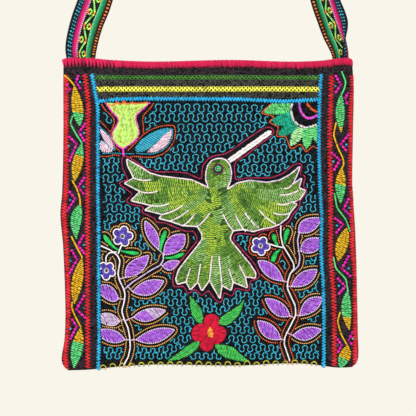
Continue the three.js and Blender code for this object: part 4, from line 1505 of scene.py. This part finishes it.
for u in np.arange(hemCurls["start"], hemCurls["end"], hemCurls["pitch"]):
    lifted = along(hemLine, "x", u - chart["middle"], "rise")
    v = hemCurls["level"] - lifted + dice.normal(0, hemCurls["jitter"])
    opens, closes = (hemCurls[c] + dice.normal(0, hemCurls["turning"]) for c in ("opens", "closes"))
    arc = ring((u, v), hemCurls["across"], hemCurls["down"], opens, closes, hemCurls["count"])
    rope(flowerWork, "olive", arc, pitch=1.4, wide=1.0, high=1.0, lean=0.2)
flowers = embroider("flower_stitches", flowerWork)

# the looping ground stitch that fills the free picture cloth, found on a grid of cells
ground = dict(
    left=92, right=332, top=96, bottom=361, below=7, cell=0.5, inset=1.0, clear=1.5, walk=0.4,
    start=103, firstRow=4.5, lastRow=4, row=10.4, band=5.2, shrink=0.12, shrinkBy=1.4,
    loopsFrom=88, loopsOver=240, step=0.16, period=9.6, swing=1.9, tall=4.3, round=0.16, shift=6,
    least=1.1, jump=1.6, fewest=9,
    stitch=dict(pitch=1.7, wide=1.15, high=0.9, gap=0.05, shade=0.6),
)
cell = ground["cell"]
cellsAcross = np.arange(ground["left"], ground["right"], cell)
cellsDown = np.arange(ground["top"], ground["bottom"] + ground["below"], cell)
cells = np.stack(np.meshgrid(cellsAcross, cellsDown), -1)
taken = ~(inFrame(cells, ground["inset"]) & (cells[..., 1] < ground["bottom"]))
for shape in blockers:
    (j0, i0), (j1, i1) = (
        (np.searchsorted(cellsAcross, u), np.searchsorted(cellsDown, v))
        for u, v in (shape.min(0) - 1, shape.max(0) + 1)
    )
    taken[i0:i1, j0:j1] |= inside(shape, cells[i0:i1, j0:j1])
for line in (*edgeLines, *blockers):
    at = spaced(line, ground["walk"])
    j, i = np.round((at - (ground["left"], ground["top"])) / cell).astype(int).T
    ok = (i >= 0) & (j >= 0) & (i < taken.shape[0]) & (j < taken.shape[1])
    taken[i[ok], j[ok]] = True
reachCells = int(ground["clear"] / cell)
free = ~taken
for di in range(-reachCells, reachCells + 1):
    for dj in range(-reachCells, reachCells + 1):
        if di * di + dj * dj <= reachCells * reachCells + 1:
            free &= ~np.roll(taken, (di, dj), (0, 1))


def openSpan(u, level, scale):  # the longest free stretch of a row at a place: its middle and half height
    j = int(round((u - ground["left"]) / cell))
    first, last = (
        int(round((level + side * ground["band"] * scale - ground["top"]) / cell)) for side in (-1, 1)
    )
    first = max(first, 0)
    if not 1 <= j < free.shape[1] - 1:
        return None
    spans = stretches(free[first:last + 1, j])
    if not len(spans):
        return None
    start, end = spans[np.argmax(spans[:, 1] - spans[:, 0])]
    half = (end - start - 1) * cell / 2
    return ground["top"] + (first + (start + end - 1) / 2) * cell, min(half, ground["tall"] * scale)


def fits(span, last):  # high enough for a loop, and level with the place before it
    return span is not None and span[1] > ground["least"] and (
        last is None or abs(span[0] - last) < ground["jump"]
    )


groundWork = hoop()
levels = [ground["start"] + ground["firstRow"]]
scales = [1.0]
while levels[-1] < ground["bottom"] + ground["lastRow"]:  # rows and loops grow smaller towards the hem
    down = (levels[-1] - ground["start"]) / (ground["bottom"] - ground["start"])
    scales.append(1 - ground["shrink"] * min(down * ground["shrinkBy"], 1))
    levels.append(levels[-1] + ground["row"] * scales[-1])
for level, scale in zip(levels, scales):
    parts = [[]]
    last = None
    period = ground["period"] * scale
    start = dice.uniform(0, ground["shift"])
    for t in np.arange(0, ground["loopsOver"] / period * 2 * math.pi, ground["step"]):
        sway = ground["swing"] * scale * math.sin(2 * t + start * 2)
        u = ground["loopsFrom"] + t * period / (2 * math.pi) + sway
        span = openSpan(u, level, scale)
        if not fits(span, last):
            last = None
            parts.append([])
            continue
        last = span[0]
        wave = (math.cos(t + start) + ground["round"] * math.cos(3 * (t + start))) / (1 + ground["round"])
        parts[-1].append((u, span[0] - span[1] * wave))
    for part in parts:
        if len(part) > ground["fewest"]:
            running(groundWork, "turquoise", trace(part, soft=0.5), **ground["stitch"])
groundStitches = embroider("ground_stitches", groundWork)

# floats of coloured warp on both faces of the strap
floatPlan = table(  # columns of short floats: place across, spacing, length, width, shift along and tone
    "w pitch long wide shift tone",
    (2.7, 3.3, 3.0, 2.0, 0, 0.42), (21.1, 1.9, 1.2, 1.2, 0.4, 0.5),
    (28.5, 3.3, 2.0, 1.7, 0, 0.35), (30.7, 3.3, 2.0, 1.7, 0.6, 0.35),
)
floatYarns = "strapOrange", "lilacWhite", "turquoise", "turquoise"
floats = dict(margin=3, lean=0.25, high=0.7)
meander = dict(
    middle=15.9, swing=3.2, period=29, margin=2, step=0.4, soft=0.6,
    eye=2.2, across=1.8, down=2.8, count=12,
    yarns=(("strapLime", 0, 0.6), ("bandYellow", 0.6, 0.8), ("strapOrange", 0.8, 9)),
    arcs=(("strapLime", 80, 280), ("bandYellow", 20, 90), ("strapOrange", -90, 25)),
    line=dict(pitch=1.9, wide=2.2, high=0.8, gap=-0.05), arc=dict(pitch=1.5, wide=2.3, high=0.8, gap=-0.05),
)


def strapFloatPiece(name, face, hand):
    work = hoop()
    for thread, w, pitch, long, wide, shift, tone in zip(floatYarns, *floatPlan.values()):
        s = np.arange(floats["margin"] + shift, strapLength - floats["margin"], pitch)
        at = np.stack([np.full_like(s, w), s], 1)
        half = (long / 2, floats["lean"])
        stitch(work, thread, at - half, at + half, wide, floats["high"], shade=tone)
    s = np.arange(meander["margin"], strapLength - meander["margin"], meander["step"])
    bend = 2 / math.pi * np.arcsin(np.sin(2 * math.pi * s / meander["period"]))
    wave = trace(np.stack([meander["middle"] + meander["swing"] * bend, s], 1), meander["soft"])
    for thread, low, high in meander["yarns"]:

        def keep(at):
            off = np.abs(at[:, 0] - meander["middle"]) / meander["swing"]
            return (off >= low) & (off < high)

        running(work, thread, wave, keep=keep, **meander["line"])
    for k in range(int(strapLength / meander["period"] * 2)):
        side, away = (1, 0) if k % 2 else (-1, 180)
        at = (meander["middle"] + side * meander["eye"], (k + 0.5) * meander["period"] / 2)
        for thread, start, end in meander["arcs"]:
            arc = ring(at, meander["across"], meander["down"], away + start, away + end, meander["count"])
            running(work, thread, arc, **meander["arc"])

    def onFace(w, s, out):
        return onStrap(w, s, face * (strap["thick"] / 2 + out))

    return sew(name, work, onFace, hand)


strapFloats = strapFloatPiece("strap_floats", 1, -1)
strapBackFloats = strapFloatPiece("strap_back_floats", -1, 1)
# floor, light and camera
stage = dict(floorZ=-0.83, floorRadius=0.75, segments=96, rough=0.9, grain=40, detail=2)
floorMesh = bpy.data.meshes.new("floor")
bm = bmesh.new()
lowered = Matrix.Translation((0, 0, stage["floorZ"]))
bmesh.ops.create_circle(
    bm, cap_ends=True, segments=stage["segments"], radius=stage["floorRadius"], matrix=lowered
)
bm.to_mesh(floorMesh)
bm.free()
floor = added("floor", floorMesh)
floorLook = Look("pale floor", stage["rough"])
grain = floorLook.noise(floorLook.place, stage["grain"], stage["detail"])
floorTint = floorLook.ramp(grain, [(0.3, rgb(236, 231, 219)), (0.7, rgb(243, 239, 228))])
floorMesh.materials.append(floorLook.dress(floorTint))

world = bpy.data.worlds.new("studio")
world.use_nodes = True
scene.world = world
backdrop = world.node_tree.nodes["Background"]
backdrop.inputs["Color"].default_value = rgb(249, 245, 234)
backdrop.inputs["Strength"].default_value = 1.0

lamps = table(
    "x y z aimX aimZ size watts",
    (-0.9, -1.6, 0.35, 0, -0.5, 0.9, 28),
    (1.2, -1.4, -0.3, 0, -0.55, 1.2, 7),
)
for x, y, z, aimX, aimZ, size, watts in zip(*lamps.values()):
    glow = bpy.data.lights.new("soft box", "AREA")
    glow.size = size
    glow.energy = watts
    lamp = added("soft box", glow)
    lamp.location = (x, y, z)
    lamp.rotation_euler = (Vector((aimX, 0, aimZ)) - lamp.location).to_track_quat("-Z", "Y").to_euler()

view = dict(distance=4.0, level=-0.548, face=0.010, width=0.416, sensor=36)  # the chart fills the picture
lens = bpy.data.cameras.new("camera")
lens.sensor_width = view["sensor"]
lens.lens = view["sensor"] * (view["distance"] - view["face"]) / view["width"]
camera = added("camera", lens)
camera.location = (0, -view["distance"], view["level"])
camera.rotation_euler = (math.pi / 2, 0, 0)
scene.camera = camera
scene.view_settings.view_transform = "Standard"
print("stage set")
